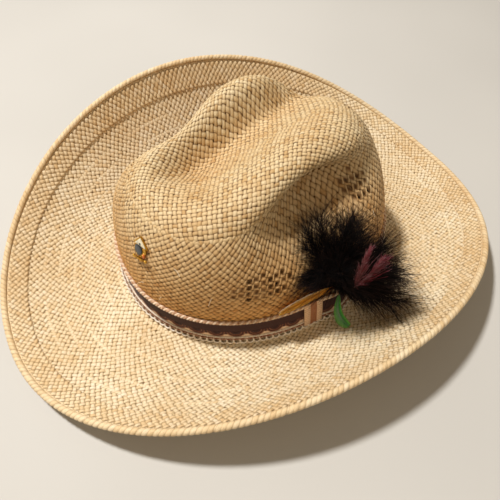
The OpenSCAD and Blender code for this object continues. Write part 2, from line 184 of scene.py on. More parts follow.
def grid_faces(rows, cols, start=0, closed=False, turned=False):
    i, j = np.meshgrid(np.arange(rows - 1), np.arange(cols if closed else cols - 1), indexing="ij")
    a, b = start + i * cols + j, start + i * cols + (j + 1) % cols
    quads = np.stack([a, b, b + cols, a + cols], axis=-1).reshape(-1, 4)
    return quads[:, ::-1] if turned else quads


class Parts:
    """Collects points, faces and values of several stretches of one mesh."""

    def __init__(self):
        self.verts, self.faces, self.uv, self.values, self.count = [], [], [], {}, 0

    def add(self, verts, faces, uv=None, **values):
        verts = np.asarray(verts).reshape(-1, 3)
        self.verts.append(verts)
        self.faces.extend([[int(v) + self.count for v in face] for face in faces])
        self.uv.append(np.zeros((len(verts), 2)) if uv is None else np.asarray(uv).reshape(-1, 2))
        for key, value in values.items():
            value = np.broadcast_to(np.asarray(value, float).ravel(), (len(verts),))
            self.values.setdefault(key, []).append(value)
        self.count += len(verts)

    def make(self, name, body, slot, material, stands_for=None):
        values = {key: np.concatenate(value) for key, value in self.values.items()}
        piece = make_piece(name, np.concatenate(self.verts), self.faces, body, slot, material,
                           np.concatenate(self.uv), **values)
        if stands_for:
            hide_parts(stands_for)
        return piece


def caps(count, sides):
    """The two end faces of a tube with that many points and sides."""
    return [list(range(sides - 1, -1, -1)), [count - sides + k for k in range(sides)]]


def tube(path, radius, sides=8, closed=False, squash=1.0, up=None):
    """Points and faces of a tube along a path; the radius may change along it."""
    path = np.asarray(path, float)
    n = len(path)
    radius = np.broadcast_to(np.asarray(radius, float), (n,))
    if closed:
        along = unit(np.roll(path, -1, 0) - np.roll(path, 1, 0))
    else:
        along = unit(np.gradient(path, axis=0))
    guide = np.array([0.0, 0.0, 1.0]) if up is None else np.asarray(up, float)
    out = unit(np.cross(along, guide))
    over = np.cross(out, along)
    ring = np.linspace(0, TURN, sides, endpoint=False)
    verts = (path[:, None] + radius[:, None, None] * (np.cos(ring)[None, :, None] * out[:, None]
             + squash * np.sin(ring)[None, :, None] * over[:, None]))
    faces = grid_faces(n, sides, closed=True, turned=True).tolist()
    if closed:
        last = (n - 1) * sides
        faces += [[last + (k + 1) % sides, last + k, k, (k + 1) % sides] for k in range(sides)]
    length = np.concatenate([[0], np.cumsum(np.linalg.norm(np.diff(path, axis=0), axis=1))])
    uv = stack(length[:, None], ring[None, :], 0)[..., :2]
    return verts.reshape(-1, 3), faces, uv.reshape(-1, 2)


# ---- materials ----
def colour(*screen):
    """A colour as it's seen on a screen, 0 to 255, as the linear colour that Blender takes."""
    shares = [value / 255 for value in screen]
    return tuple(c / 12.92 if c <= 0.04045 else ((c + 0.055) / 1.055) ** 2.4 for c in shares) + (1,)


WHITE = colour(255, 255, 255)


class Paint:
    """A node material, built up one node at a time."""

    def __init__(self, name, **sockets):
        self.material = bpy.data.materials.new(name)
        self.material.use_nodes = True
        self.tree = self.material.node_tree
        self.shader = self.tree.nodes["Principled BSDF"]
        for key, value in sockets.items():
            self.shader.inputs[key.replace("_", " ")].default_value = value

    def node(self, kind, **settings):
        node = self.tree.nodes.new("ShaderNode" + kind)
        for key, value in settings.items():
            setattr(node, key, value)
        return node

    def link(self, out, into):
        self.tree.links.new(out, into)

    def fill(self, socket, value):
        if hasattr(value, "is_output"):
            self.link(value, socket)
        else:
            socket.default_value = value

    def attribute(self, name):
        return self.node("Attribute", attribute_name=name).outputs["Fac"]

    def uv(self):
        return self.node("TexCoord").outputs["UV"]

    def place(self):
        return self.node("TexCoord").outputs["Object"]

    def stretched(self, vector, scale):
        node = self.node("Mapping")
        self.link(vector, node.inputs["Vector"])
        node.inputs["Scale"].default_value = scale
        return node.outputs["Vector"]

    def noise(self, vector, scale, detail=3.0, roughness=0.55):
        node = self.node("TexNoise")
        self.link(vector, node.inputs["Vector"])
        node.inputs["Scale"].default_value = scale
        node.inputs["Detail"].default_value = detail
        node.inputs["Roughness"].default_value = roughness
        return node.outputs["Fac"]

    def ramp(self, fac, *stops):
        node = self.node("ValToRGB")
        self.link(fac, node.inputs["Fac"])
        band = node.color_ramp
        while len(band.elements) < len(stops):
            band.elements.new(0.5)
        for element, (place, tint) in zip(band.elements, stops):
            element.position = place
            element.color = tint
        return node.outputs["Color"]

    def mix(self, fac, first, second, blend="MIX"):
        node = self.node("Mix", data_type="RGBA", blend_type=blend)
        self.fill(node.inputs[0], fac)
        self.fill(node.inputs[6], first)
        self.fill(node.inputs[7], second)
        return node.outputs[2]

    def maths(self, operation, first, second=0.0):
        node = self.node("Math", operation=operation)
        self.fill(node.inputs[0], first)
        self.fill(node.inputs[1], second)
        return node.outputs[0]

    def bump(self, height, distance, strength=1.0):
        node = self.node("Bump")
        self.link(height, node.inputs["Height"])
        node.inputs["Distance"].default_value = distance
        node.inputs["Strength"].default_value = strength
        self.link(node.outputs["Normal"], self.shader.inputs["Normal"])

    def base(self, value):
        self.fill(self.shader.inputs["Base Color"], value)

    def rough(self, fac, low, first, high, second):
        """Roughness that goes from a first to a second value as fac goes from low to high."""
        stops = (low, (first,) * 3 + (1,)), (high, (second,) * 3 + (1,))
        self.fill(self.shader.inputs["Roughness"], self.ramp(fac, *stops))

    def shade(self, share, body, fac, low, tint, high):
        """The body's colour, multiplied by a tint where fac is low."""
        return self.mix(share, body, self.ramp(fac, (low, colour(*tint)), (high, WHITE)), "MULTIPLY")


def straw_paint(name, tints, groove_shade, painted_warm_shade_low=False):
    paint = Paint(name, Specular_IOR_Level=0.35)
    tone = paint.attribute("tone")
    body = paint.ramp(tone, *zip((0.0, 0.55, 1.0), [colour(*tint) for tint in tints]))
    # Palm leaf has fine fibres along each strand; the strand's UV is in millimetres along and across
    fibre = paint.noise(paint.stretched(paint.uv(), (0.35, 3.2, 1)), 1.6, 3)
    body = paint.shade(0.42, body, fibre, 0.3, (150, 128, 96), 0.62)
    # Sun and handling leave broad patches over the whole hat
    body = paint.shade(0.35, body, paint.noise(paint.place(), 16, 2), 0.35, (226, 196, 150), 0.65)
    if painted_warm_shade_low:
        # Painted warm shade: the crown's wall is tinted golden towards the band, for the shade and the brim's
        # warm bounce light there
        split = paint.node("SeparateXYZ")
        paint.link(paint.place(), split.inputs[0])
        height = paint.maths("MULTIPLY", split.outputs["Z"], 8.0)
        body = paint.shade(0.8, body, height, 0.3, (248, 200, 124), 0.85)
    # Painted shade: each strand darkens towards its edges and ends, to the groove colour, where its
    # neighbours would shade it
    paint.base(paint.mix(paint.attribute("edge"), body, colour(*groove_shade)))
    paint.rough(fibre, 0.3, 0.72, 0.7, 0.5)
    paint.bump(fibre, 0.00025, 0.6)
    return paint.material


def matt_paint(name, scale, *stops):
    paint = Paint(name, Roughness=0.9, Specular_IOR_Level=0.1)
    paint.base(paint.ramp(paint.noise(paint.place(), scale, 2), *stops))
    return paint.material


# Each look's last colour is the painted shade at its strands' edges; the crown's look also has painted warm
# shade low on its wall
straw_crown = straw_paint("crown_straw", ((246, 228, 188), (236, 212, 166), (216, 182, 128)), (104, 66, 26),
                          painted_warm_shade_low=True)
straw_brim = straw_paint("brim_straw", ((255, 242, 214), (250, 232, 196), (240, 214, 170)), (146, 112, 62))
straw_edge = straw_paint("edge_straw", ((254, 238, 206), (247, 224, 182), (234, 204, 156)), (140, 104, 56))
# Painted shade: a dark sheet under the strands stands for the shade seen through the weave's gaps
painted_gap_shade = matt_paint("painted_gap_shade", 700, (0.35, colour(74, 50, 24)), (0.7, colour(120, 88, 46)))

# ---- camera, floor and lights ----
CAMERA_PLACE = Vector((215.1, -134.2, 327.6)) * MM
AZIMUTH, ELEVATION, ROLL = math.radians(58.75), math.radians(53.17), 0.027
back = Vector((math.sin(AZIMUTH) * math.cos(ELEVATION),
               -math.cos(AZIMUTH) * math.cos(ELEVATION), math.sin(ELEVATION)))
level = Vector((math.cos(AZIMUTH), math.sin(AZIMUTH), 0))
steep = back.cross(level)
right = level * math.cos(ROLL) + steep * math.sin(ROLL)
above = steep * math.cos(ROLL) - level * math.sin(ROLL)
camera = bpy.data.objects.new("camera", bpy.data.cameras.new("camera"))
camera.data.lens, camera.data.sensor_width = 36, 36
camera.data.clip_start = 0.01
camera.matrix_world = Matrix((
    (right.x, above.x, back.x, CAMERA_PLACE.x), (right.y, above.y, back.y, CAMERA_PLACE.y),
    (right.z, above.z, back.z, CAMERA_PLACE.z), (0, 0, 0, 1)))
bpy.context.collection.objects.link(camera)
bpy.context.scene.camera = camera

floor_mesh = bpy.data.meshes.new("floor")
FLOOR = 3.0
corners = [(-FLOOR, -FLOOR, 0), (FLOOR, -FLOOR, 0), (FLOOR, FLOOR, 0), (-FLOOR, FLOOR, 0)]
floor_mesh.from_pydata(corners, [], [(0, 1, 2, 3)])
floor_stops = (0.3, colour(196, 193, 187)), (0.7, colour(204, 201, 195))
floor_mesh.materials.append(matt_paint("floor_paint", 3, *floor_stops))
floor = bpy.data.objects.new("floor", floor_mesh)
bpy.context.collection.objects.link(floor)

ahead = Vector((-math.sin(AZIMUTH), math.cos(AZIMUTH), 0))
world = bpy.data.worlds.new("studio")
bpy.context.scene.world = world
world.use_nodes = True
sky = world.node_tree.nodes["Background"].inputs
sky["Color"].default_value = (1.0, 0.84, 0.64, 1)
sky["Strength"].default_value = 0.28


def studio_light(name, direction, distance, size, power, tint):
    light = bpy.data.lights.new(name, "AREA")
    light.shape, light.size, light.energy, light.color = "DISK", size, power, tint
    lamp = bpy.data.objects.new(name, light)
    lamp.location = direction.normalized() * distance
    lamp.rotation_euler = direction.to_track_quat("Z", "Y").to_euler()
    bpy.context.collection.objects.link(lamp)


studio_light("key", -0.36 * level + 0.1 * ahead + Vector((0, 0, 0.9)), 1.7, 0.16, 32, (1.0, 0.985, 0.965))
studio_light("fill", 0.2 * level - 0.9 * ahead + Vector((0, 0, 0.8)), 1.8, 1.0, 3, (1.0, 0.86, 0.66))

# ---- the weave ----
def turn_at(share, k):
    """The angle that lies at an even share of an oval's run, where k grows with how long the oval is."""
    return share - k * np.sin(2 * share)


def spot_normal(surface, a, b, sign):
    step = 0.08
    down_rows = surface(a + step, b) - surface(a - step, b)
    return sign * unit(np.cross(down_rows, surface(a, b + step) - surface(a, b - step)))


LENGTH_STOPS = {5: (-1, -0.62, -0.22, 0.22, 0.62, 1), 3: (-1, -0.4, 0.4, 1), 4: (-1, -0.5, 0, 0.5, 1)}
WIDTH_STOPS = {4: (-1, -0.62, 0, 0.62, 1), 2: (-1, 0, 1)}
WEAVE_WAVE, WEAVE_ROUND, WEAVE_SINK = 0.4, 0.45, 0.2
SEAM_SINK = 0.3  # how far the strands that carry on under the next zone lie below it
PITCH = 3.3  # one crossing of the weave, for the fibres' scale
FINE, COARSE = (4, 4), (3, 2)  # stretches along and across a strand
STRAND_HALF = (0.76, 0.46)  # half a strand's length and width, in crossings
INNER_FACE = STRAW - 0.1  # how far the inner strands lie from the outer surface
GAP_OUTER, GAP_INNER = -0.45, -1.05  # the backing's two faces
FLOOR_CLEAR = 0.02


def weave(parts, surface, rows, cols, sign, tones, segments=FINE, away=0.0, floor_z=None, open_up=None,
          flip=False, sunk=None):
    """Adds one domed strand for each crossing at rows and cols of a lattice, over one and under one."""
    n = len(rows)
    away = away - (0 if sunk is None else SEAM_SINK * np.asarray(sunk, float)[:, None])
    lengthwise = np.round(rows + cols) % 2 == 0
    s, w = np.meshgrid(LENGTH_STOPS[segments[0]], WIDTH_STOPS[segments[1]], indexing="ij")
    s, w = s.ravel()[None], w.ravel()[None]
    swell = 1 + 0.06 * rng.standard_normal((n, 1))
    skew = 0.055 * rng.standard_normal((n, 1))
    run = STRAND_HALF[0] * s
    cross = STRAND_HALF[1] * np.clip(swell, 0.8, 1.12) * w * (1 - 0.1 * np.abs(s) ** 3) + skew * s
    shift = 0.035 * rng.standard_normal((2, n, 1))
    a = rows[:, None] + 0.5 + np.where(lengthwise[:, None], run, cross) + shift[0]
    b = cols[:, None] + 0.5 + np.where(lengthwise[:, None], cross, run) + shift[1]
    if open_up is not None:
        a, b = open_up(a, b)
    point = surface(a, b)
    normal = spot_normal(surface, a, b, sign)
    dome = 1 - np.abs(w) ** 2.2
    lift = 1 + 0.2 * rng.standard_normal((n, 1))
    height = WEAVE_WAVE * lift * np.cos(0.75 * math.pi * s) + WEAVE_ROUND * dome - WEAVE_SINK
    verts = point + normal * ((height + away) if not flip else (-height - away))[..., None]
    if floor_z is not None:
        verts[..., 2] = np.maximum(verts[..., 2], floor_z + 0.05 * (1 - dome))
    per = s.shape[1]
    quads = grid_faces(segments[0] + 1, segments[1] + 1)
    back_quads = quads[:, ::-1]
    turned = lengthwise ^ (sign < 0) ^ flip
    faces = np.where(turned[:, None, None], quads[None], back_quads[None])
    faces = faces + (np.arange(n) * per)[:, None, None]
    by_col = tones[0][cols.astype(int) % len(tones[0])]
    strand = np.where(lengthwise, by_col, tones[1][rows.astype(int) % len(tones[1])])
    tone = np.clip(0.5 * strand + 0.5 * rng.random(n) + 0.12 * rng.standard_normal(n), 0, 1)
    # The edge value masks painted shade at a strand's sides and ends
    edge = np.clip(0.85 * np.abs(w) ** 4 + 0.8 * np.abs(s) ** 4, 0, 0.9) * np.ones((n, 1))
    start = rng.random((n, 1)) * 60
    uv = stack(run * PITCH + start, cross * PITCH + start * 3, 0)[..., :2]
    parts.add(verts, faces.reshape(-1, 4), uv, tone=np.repeat(tone, per), edge=edge)


def backing(parts, surface, rows, cols, sign, keep=None, floor_z=None):
    """The inside of the weave, coloured dark as painted shade in the gaps: two faces through the crossings,
    joined round every free edge.
    """
    a, b = np.meshgrid(rows, cols, indexing="ij")
    point, normal = surface(a, b), spot_normal(surface, a, b, sign)
    top, low = point + normal * GAP_OUTER, point + normal * GAP_INNER
    if floor_z is not None:
        top[..., 2] = np.maximum(top[..., 2], floor_z + 0.25)
        low[..., 2] = np.maximum(low[..., 2], floor_z + 0.1)
    n, m = a.shape
    quads = grid_faces(n, m, closed=True)
    if keep is not None:
        first = quads[:, 0]
        quads = quads[keep(first // m, first % m)]
    start = n * m
    edges = dict.fromkeys((q[k], q[(k + 1) % 4]) for q in quads.tolist() for k in range(4))
    rims = [[head, tail, tail + start, head + start] for tail, head in edges if (head, tail) not in edges]
    faces = quads.tolist() + (quads[:, ::-1] + start).tolist() + rims
    if sign < 0:
        faces = [f[::-1] for f in faces]
    parts.add(np.concatenate([top.reshape(-1, 3), low.reshape(-1, 3)]), faces, tone=0.5, edge=0.0)


# The straw is woven on the bias: every strand runs at about 45 degrees to the rings of the hat.
# A bias lattice counts cells along a ring and lines across it; the next line is half a cell out of step.
def bias(around, line_lo, line_hi):
    """Rows and columns, along the two strand directions, of every crossing from one line to another."""
    line, k = np.meshgrid(np.arange(line_lo, line_hi), np.arange(around), indexing="ij")
    line, k = line.ravel(), k.ravel()
    return k + (line + line % 2) / 2, k - (line - line % 2) / 2


def along_line(a, b):
    return (a + b) / 2, a - b


def on_bias(ring_surface):
    """The surface by strand directions, from the surface by line and place along it."""
    def surface(a, b):
        along, line = along_line(a, b)
        return ring_surface(line, along)
    return surface


# The crown's wall: square crossings, so its lines draw together as the wall draws in
WALL_AROUND, WALL_DRIFT, CROWN_EVEN = 118, 0.08, 0.041
wall_u = np.linspace(0, 0.5, 200)
wall_rings = crown_point(np.linspace(0, TURN, 121)[None], wall_u[:, None])
wall_girth = np.linalg.norm(np.diff(wall_rings, axis=1), axis=2).sum(1)
wall_steps = np.diff(wall_u) * 2 * SHOULDER * CROWN_HEIGHT * 2 * WALL_AROUND / wall_girth[1:]
wall_line = np.concatenate([[0], np.cumsum(wall_steps)])
WALL_LINES = int(wall_line[-1])


def wall_turn(line, along):
    return turn_at(TURN * (along + WALL_DRIFT * line) / WALL_AROUND, CROWN_EVEN)


def wall_ring(line, along):
    return crown_point(wall_turn(line, along), np.interp(line, wall_line, wall_u))


def wall_angle_height(line, along):
    th = wall_turn(line, along)
    high = (CROWN_HEIGHT + CROWN_BACK_RISE * np.sin(th)) * 2 * SHOULDER * np.interp(line, wall_line, wall_u)
    return (np.degrees(th) + 180) % 360 - 180, BREAK_HEIGHT + high


# The crown's top: one square mat, laid askew over the head
MAT_TURN, MAT_PITCH = math.radians(58), 3.35
top_r = np.linspace(0, 0.99, 300)
top_h = (1 - top_r**WALL_POWER) ** (1 / TOP_POWER)
mean_half = (CROWN_HALF_WIDTH + CROWN_HALF_LENGTH) / 2
top_steps = np.hypot(np.diff(top_r) * mean_half, np.diff(top_h) * CROWN_HEIGHT)
top_run = np.concatenate([[0], np.cumsum(top_steps)]) / mean_half
MAT_EDGE = float(np.interp(SHOULDER_RADIUS, top_r, top_run))


def mat_polar(p, q):
    x = MAT_PITCH * (p * math.cos(MAT_TURN) - q * math.sin(MAT_TURN)) / CROWN_HALF_WIDTH
    y = MAT_PITCH * (p * math.sin(MAT_TURN) + q * math.cos(MAT_TURN)) / CROWN_HALF_LENGTH
    th = np.arctan2(y, x)
    return th, np.hypot(x, y) / oval(th, TOP_OVAL)


def mat_surface(p, q):
    th, run = mat_polar(p, q)
    r = np.interp(run, top_run, top_r)
    on_wall = np.interp(r, top_r, top_h) / SHOULDER / 2
    return crown_point(th, np.where(r < SHOULDER_RADIUS, 1 - 0.5 * r / SHOULDER_RADIUS, on_wall))


# Vents: holes between every other crossing in a patch on each side, and in a smaller one behind it
VENTS = [(-21, 66, 14, 9), (36, 86, 8, 10), (201, 66, 14, 9), (144, 86, 8, 10)]
VENT_RADIUS = 0.56


def is_vent(line, along):
    th, z = wall_angle_height(line, along)
    inside = np.zeros(np.shape(th), bool)
    for centre, height, half_turn, half_height in VENTS:
        across = ((th - centre + 180) % 360 - 180) / half_turn
        inside |= np.abs(across) ** 1.5 + np.abs((z - height) / half_height) ** 1.5 < 1
    return inside


def open_vents(a, b):
    """Moves points of the strands away from the nearest vent hole; holes are at every other corner."""
    i, j = np.round(a), np.round(b)
    da, db = a - i, b - j
    odd = (i + j) % 2 != 0
    step_a = odd & (np.abs(da) >= np.abs(db))
    step_b = odd & ~step_a
    i = i + np.where(step_a, np.where(da >= 0, 1, -1), 0)
    j = j + np.where(step_b, np.where(db >= 0, 1, -1), 0)
    da, db = a - i, b - j
    far = np.maximum(np.hypot(da, db), 1e-3)
    along, line = along_line(i, j)
    push = (np.sqrt(far**2 + VENT_RADIUS**2) - far) * (1 - smooth(0.3, 1.0, far)) * is_vent(line, along)
    return a + da / far * push, b + db / far * push


def build_crown():
    wall = bias(WALL_AROUND, 0, WALL_LINES + 1)
    under_top = (wall[0] - wall[1]) >= WALL_LINES - 1
    wall_surface = on_bias(wall_ring)
    reach = int(MAT_EDGE * CROWN_HALF_LENGTH / MAT_PITCH) + 3
    p, q = np.meshgrid(np.arange(-reach, reach + 1.0), np.arange(-reach, reach + 1.0), indexing="ij")
    run = mat_polar(p + 0.5, q + 0.5)[1]
    shown = run < MAT_EDGE * 1.045
    mat, under_wall = (p[shown], q[shown]), run[shown] > MAT_EDGE * 1.005
    wall_tones = (rng.random(WALL_AROUND), rng.random(WALL_AROUND))
    mat_tones = (rng.random(2 * reach + 1), rng.random(2 * reach + 1))
    wall_side, top_side, inside, between = Parts(), Parts(), Parts(), Parts()
    weave(wall_side, wall_surface, *wall, -1, wall_tones, open_up=open_vents, sunk=under_top)
    weave(top_side, mat_surface, *mat, 1, mat_tones, sunk=under_wall)
    coarse = {"segments": COARSE, "away": INNER_FACE, "flip": True}
    weave(inside, wall_surface, *wall, -1, wall_tones, open_up=open_vents, **coarse)
    weave(inside, mat_surface, *mat, 1, mat_tones, **coarse)
    lines = np.concatenate([[0.05], np.arange(1, WALL_LINES, 2) + 0.0, [wall_line[-1]]])
    along = np.arange(WALL_AROUND) + 0.5

    def keep(i, j):
        return ~is_vent(np.round(lines[i] / 2) * 2 + (np.round(lines[i]) % 2), along[j] + 0.5)

    backing(between, wall_ring, lines, along, -1, keep)
    backing(between, lambda u, th: crown_point(th, u), np.linspace(0.5, 0.998, 28),
            np.linspace(0, TURN, 96, endpoint=False), -1)
    wall_side.make("crown_weave_wall", "hat", "straw_crown", straw_crown, "crown")
    top_side.make("crown_weave_top", "hat", "straw_crown", straw_crown)
    inside.make("crown_weave_inside", "hat", "straw_crown", straw_crown)
    between.make("crown_weave_gaps", "hat", "straw_crown", painted_gap_shade)


# The brim: lines of square crossings, with more round each zone further out
BRIM_LINES, ZONE_LINES, BRIM_CELL = 40, 5, 4.53
INNER_GIRTH, RIM_GIRTH = 604.0, 1086.0
BRIM_EVEN, RIM_EVEN = 0.041, 0.062


def brim_ring(around, turned):
    def ring(line, along):
        t = line / BRIM_LINES
        return brim_point(turn_at(turned + TURN * along / around, BRIM_EVEN + (RIM_EVEN - BRIM_EVEN) * t), t)
    return ring


def build_brim():
    upper, under, between = Parts(), Parts(), Parts()
    hidden = int(FOLD_INNER * BRIM_LINES) + 1
    for first in range(0, BRIM_LINES, ZONE_LINES):
        last = first + ZONE_LINES
        girth = INNER_GIRTH + (RIM_GIRTH - INNER_GIRTH) * (first + last) / 2 / BRIM_LINES
        around = int(round(girth / BRIM_CELL))
        ring = brim_ring(around, rng.random())
        tones = (rng.random(around), rng.random(around))
        crossings = bias(around, max(first - 1, 0), min(last, hidden))
        weave(upper, on_bias(ring), *crossings, 1, tones, sunk=crossings[0] - crossings[1] < first)
        crossings = bias(around, max(first - 1, 0), last + (last == BRIM_LINES))
        weave(under, on_bias(ring), *crossings, 1, tones, segments=COARSE, away=INNER_FACE, flip=True,
              floor_z=FLOOR_CLEAR, sunk=crossings[0] - crossings[1] < first)
    lines = np.linspace(0, BRIM_LINES * 1.006, 25)
    backing(between, brim_ring(200, 0.0), lines, np.arange(200) + 0.0, 1, floor_z=FLOOR_CLEAR)
    upper.make("brim_weave", "hat", "straw_brim", straw_brim, "brim")
    under.make("brim_weave_underside", "hat", "straw_brim", straw_brim)
    between.make("brim_weave_gaps", "hat", "straw_brim", painted_gap_shade)


build_crown()
build_brim()


# ---- the rim: a folded strip woven on the bias, and a thin braided roll ----
def rim_angle(share):
    return turn_at(share, RIM_EVEN)


def build_fold():
    lines = 6
    around = int(round(RIM_GIRTH / (2 * FOLD_WIDTH / lines)))

    def ring(line, along):
        t = FOLD_INNER + (FOLD_OUTER - FOLD_INNER) * np.clip((line + 0.5) / lines, -0.03, 1.03)
        return brim_point(rim_angle(TURN * along / around), t)

    strip, body = Parts(), Parts()
    tones = (rng.random(around), rng.random(around))
    weave(strip, on_bias(ring), *bias(around, 0, lines), 1, tones, away=1.0)
    th = rim_angle(np.linspace(0, TURN, 288, endpoint=False))
    section = [(FOLD_INNER, -0.1), (FOLD_INNER + 0.002, 0.6), ((FOLD_INNER + FOLD_OUTER) / 2, 0.62),
               (FOLD_OUTER, 0.6), (1.004, 0.35), (1.005, -0.1)]
    rings = np.array([brim_point(th, t) + up * brim_normal(th, t) for t, up in section])
    faces = grid_faces(len(section), len(th), closed=True, turned=True).tolist()
    last = (len(section) - 1) * len(th)
    faces += [[j, (j + 1) % len(th), last + (j + 1) % len(th), last + j] for j in range(len(th))]
    body.add(rings, faces, tone=0.5, edge=0.0)
    strip.make("brim_edge_fold_weave", "hat", "straw_edge", straw_edge, "brim_edge_fold")
    body.make("brim_edge_fold_body", "hat", "straw_edge", straw_edge)


def rim_path(count):
    th = rim_angle(np.linspace(0, TURN, count, endpoint=False))
    edge = brim_point(th, np.ones(count))
    return edge + (BRAID_RADIUS + GAP) * unit(edge - brim_point(th, np.full(count, 0.96)))


def build_braid():
    count = 2 * int(RIM_GIRTH / 2 / 3.4)
    fine = 4
    path = rim_path(count * fine)
    along = unit(np.roll(path, -1, 0) - np.roll(path, 1, 0))
    out = unit(np.cross(along, [0.0, 0.0, 1.0]))
    over = np.cross(out, along)

    def at(place, angle, radius):
        place = np.mod(place, count) * fine
        i = np.floor(place).astype(int) % len(path)
        f = (place - np.floor(place))[..., None]
        j = (i + 1) % len(path)
        here, aside, up = [rows[i] * (1 - f) + rows[j] * f for rows in (path, out, over)]
        return here + radius[..., None] * (np.cos(angle)[..., None] * aside + np.sin(angle)[..., None] * up)

    # Each strand wraps the roll aslant, from the strip's side round to the underside
    roll = Parts()
    steps, across = 10, len(WIDTH_STOPS[4])
    per = steps * across
    s, w = np.meshgrid(np.linspace(-1, 1, steps), WIDTH_STOPS[4], indexing="ij")
    s, w = s.ravel()[None], w.ravel()[None]
    k = np.arange(count)[:, None]
    wobble = 0.06 * rng.standard_normal((count, 1))
    place = k + 0.5 + 0.9 * s + 0.53 * w + wobble
    angle = 0.25 + (2.8 + 0.1 * rng.standard_normal((count, 1))) * s + 0 * w
    dome = 1 - np.abs(w) ** 2.2
    radius = BRAID_RADIUS - 0.1 + 0.4 * dome * (1 - 0.3 * np.abs(s) ** 3)
    verts = at(place, angle, radius * np.ones_like(place))
    quads = grid_faces(steps, across)
    faces = (quads[None] + (np.arange(count) * per)[:, None, None]).reshape(-1, 4)
    tone = np.clip(0.25 + 0.6 * rng.random(count), 0, 1)
    # The edge value masks painted shade at each wrap's sides and ends
    edge = np.clip(0.5 * np.abs(w) ** 5 + 0.3 * np.abs(s) ** 6, 0, 0.5) * np.ones((count, 1))
    uv = stack(s * 6 + k * 3.0, w * 1.9 + k, 0)[..., :2]
    roll.add(verts, faces, uv, tone=np.repeat(tone, per), edge=edge)
    roll.make("brim_edge_braid_wraps", "hat", "straw_edge", straw_edge, "brim_edge_braid")
    core = Parts()
    verts, faces, uv = tube(rim_path(300), BRAID_RADIUS - 0.15, 8, closed=True)
    core.add(verts, faces, uv, tone=0.5, edge=0.0)
    core.make("brim_edge_braid_core", "hat", "straw_edge", straw_edge)


build_fold()
build_braid()

# ---- thread, leather, feather and metal looks ----
def worn_paint(name, tints, scale, rough, bump, **sockets):
    """A look whose tint goes with the piece's tone value, with fine noise and bump."""
    paint = Paint(name, **sockets)
    fine = paint.noise(paint.place(), scale, 4)
    stops = [(k / (len(tints) - 1), colour(*tint)) for k, tint in enumerate(tints)]
    body = paint.ramp(paint.attribute("tone"), *stops)
    paint.base(paint.shade(0.55, body, fine, 0.32, (140, 132, 124), 0.66))
    paint.rough(fine, 0.3, rough[0], 0.7, rough[1])
    paint.bump(fine, bump, 0.7)
    return paint.material


YARN_ROUGH = (0.8, 0.95)
YARN = {"Specular_IOR_Level": 0.15, "Sheen_Weight": 0.15}
HIDE = {"Specular_IOR_Level": 0.4}
band_thread = worn_paint("band_thread", ((255, 236, 208), (196, 136, 98), (92, 48, 40), (50, 24, 24)), 1400,
                         YARN_ROUGH, 0.0002, **YARN)
tan_thread = worn_paint("tan_thread", ((255, 232, 204), (240, 204, 168), (170, 110, 74)), 1500,
                        YARN_ROUGH, 0.0002, **YARN)
lace_thread = worn_paint("lace_thread", ((255, 246, 230), (250, 226, 200), (150, 92, 66)), 1500,
                         YARN_ROUGH, 0.0002, **YARN)
sewing_thread = worn_paint("sewing_thread", ((236, 222, 196), (206, 186, 152)), 2000, (0.7, 0.9), 0.0001,
                           Specular_IOR_Level=0.2)
leather = worn_paint("sweat_leather", ((178, 122, 74), (150, 96, 54)), 260, (0.42, 0.6), 0.0002, **HIDE)
bow_leather = worn_paint("bow_leather", ((112, 70, 42), (84, 50, 30)), 320, (0.4, 0.55), 0.0002, **HIDE)


def feather_paint(name, root, middle, tip, rough=0.55, sheen=0.3):
    """The tone value runs from a barb's root to its tip."""
    paint = Paint(name, Specular_IOR_Level=0.15, Sheen_Weight=sheen)
    fine = paint.noise(paint.place(), 420, 3)
    tints = [colour(*tint) for tint in (root, middle, tip)]
    body = paint.ramp(paint.attribute("tone"), *zip((0.0, 0.55, 1.0), tints))
    paint.base(paint.shade(0.5, body, fine, 0.3, (120, 110, 104), 0.65))
    paint.rough(fine, 0.3, rough - 0.1, 0.7, rough + 0.15)
    return paint.material


black_barbs = feather_paint("black_barbs", (8, 6, 8), (16, 12, 13), (74, 50, 42), 0.75, 0.0)
red_barbs = feather_paint("red_barbs", (96, 10, 26), (146, 20, 46), (170, 52, 76))
green_barbs = feather_paint("green_barbs", (26, 96, 34), (46, 150, 52), (126, 190, 84), 0.4)
gold_barbs = feather_paint("gold_barbs", (190, 112, 26), (240, 164, 42), (252, 204, 104), 0.45)
quill_horn = worn_paint("quill_horn", ((222, 200, 160), (150, 120, 84)), 500, (0.35, 0.5), 0.0001)
brown_wrap = worn_paint("brown_wrap", ((134, 84, 48), (92, 54, 30)), 1300, YARN_ROUGH, 0.0002)


def metal_paint(name, tint, worn, rough):
    paint = Paint(name, Metallic=1.0)
    fine = paint.noise(paint.place(), 900, 4)
    paint.base(paint.ramp(fine, (0.35, colour(*worn)), (0.6, colour(*tint))))
    paint.rough(fine, 0.3, rough + 0.2, 0.65, rough)
    paint.bump(fine, 0.00005, 0.5)
    return paint.material


def enamel_paint(name, tints, scale, bump):
    return worn_paint(name, tints, scale, (0.12, 0.3), bump, Coat_Weight=0.6)


gold_metal = metal_paint("gold_metal", (238, 190, 84), (150, 104, 40), 0.25)
steel_metal = metal_paint("steel_metal", (176, 178, 182), (110, 110, 112), 0.3)
dark_enamel = enamel_paint("dark_enamel", ((52, 56, 58), (30, 32, 36)), 520, 0.00008)
cream_enamel = enamel_paint("cream_enamel", ((236, 222, 184), (250, 240, 210)), 420, 0.00006)
orange_enamel = enamel_paint("orange_enamel", ((214, 96, 30), (240, 140, 50)), 420, 0.00006)


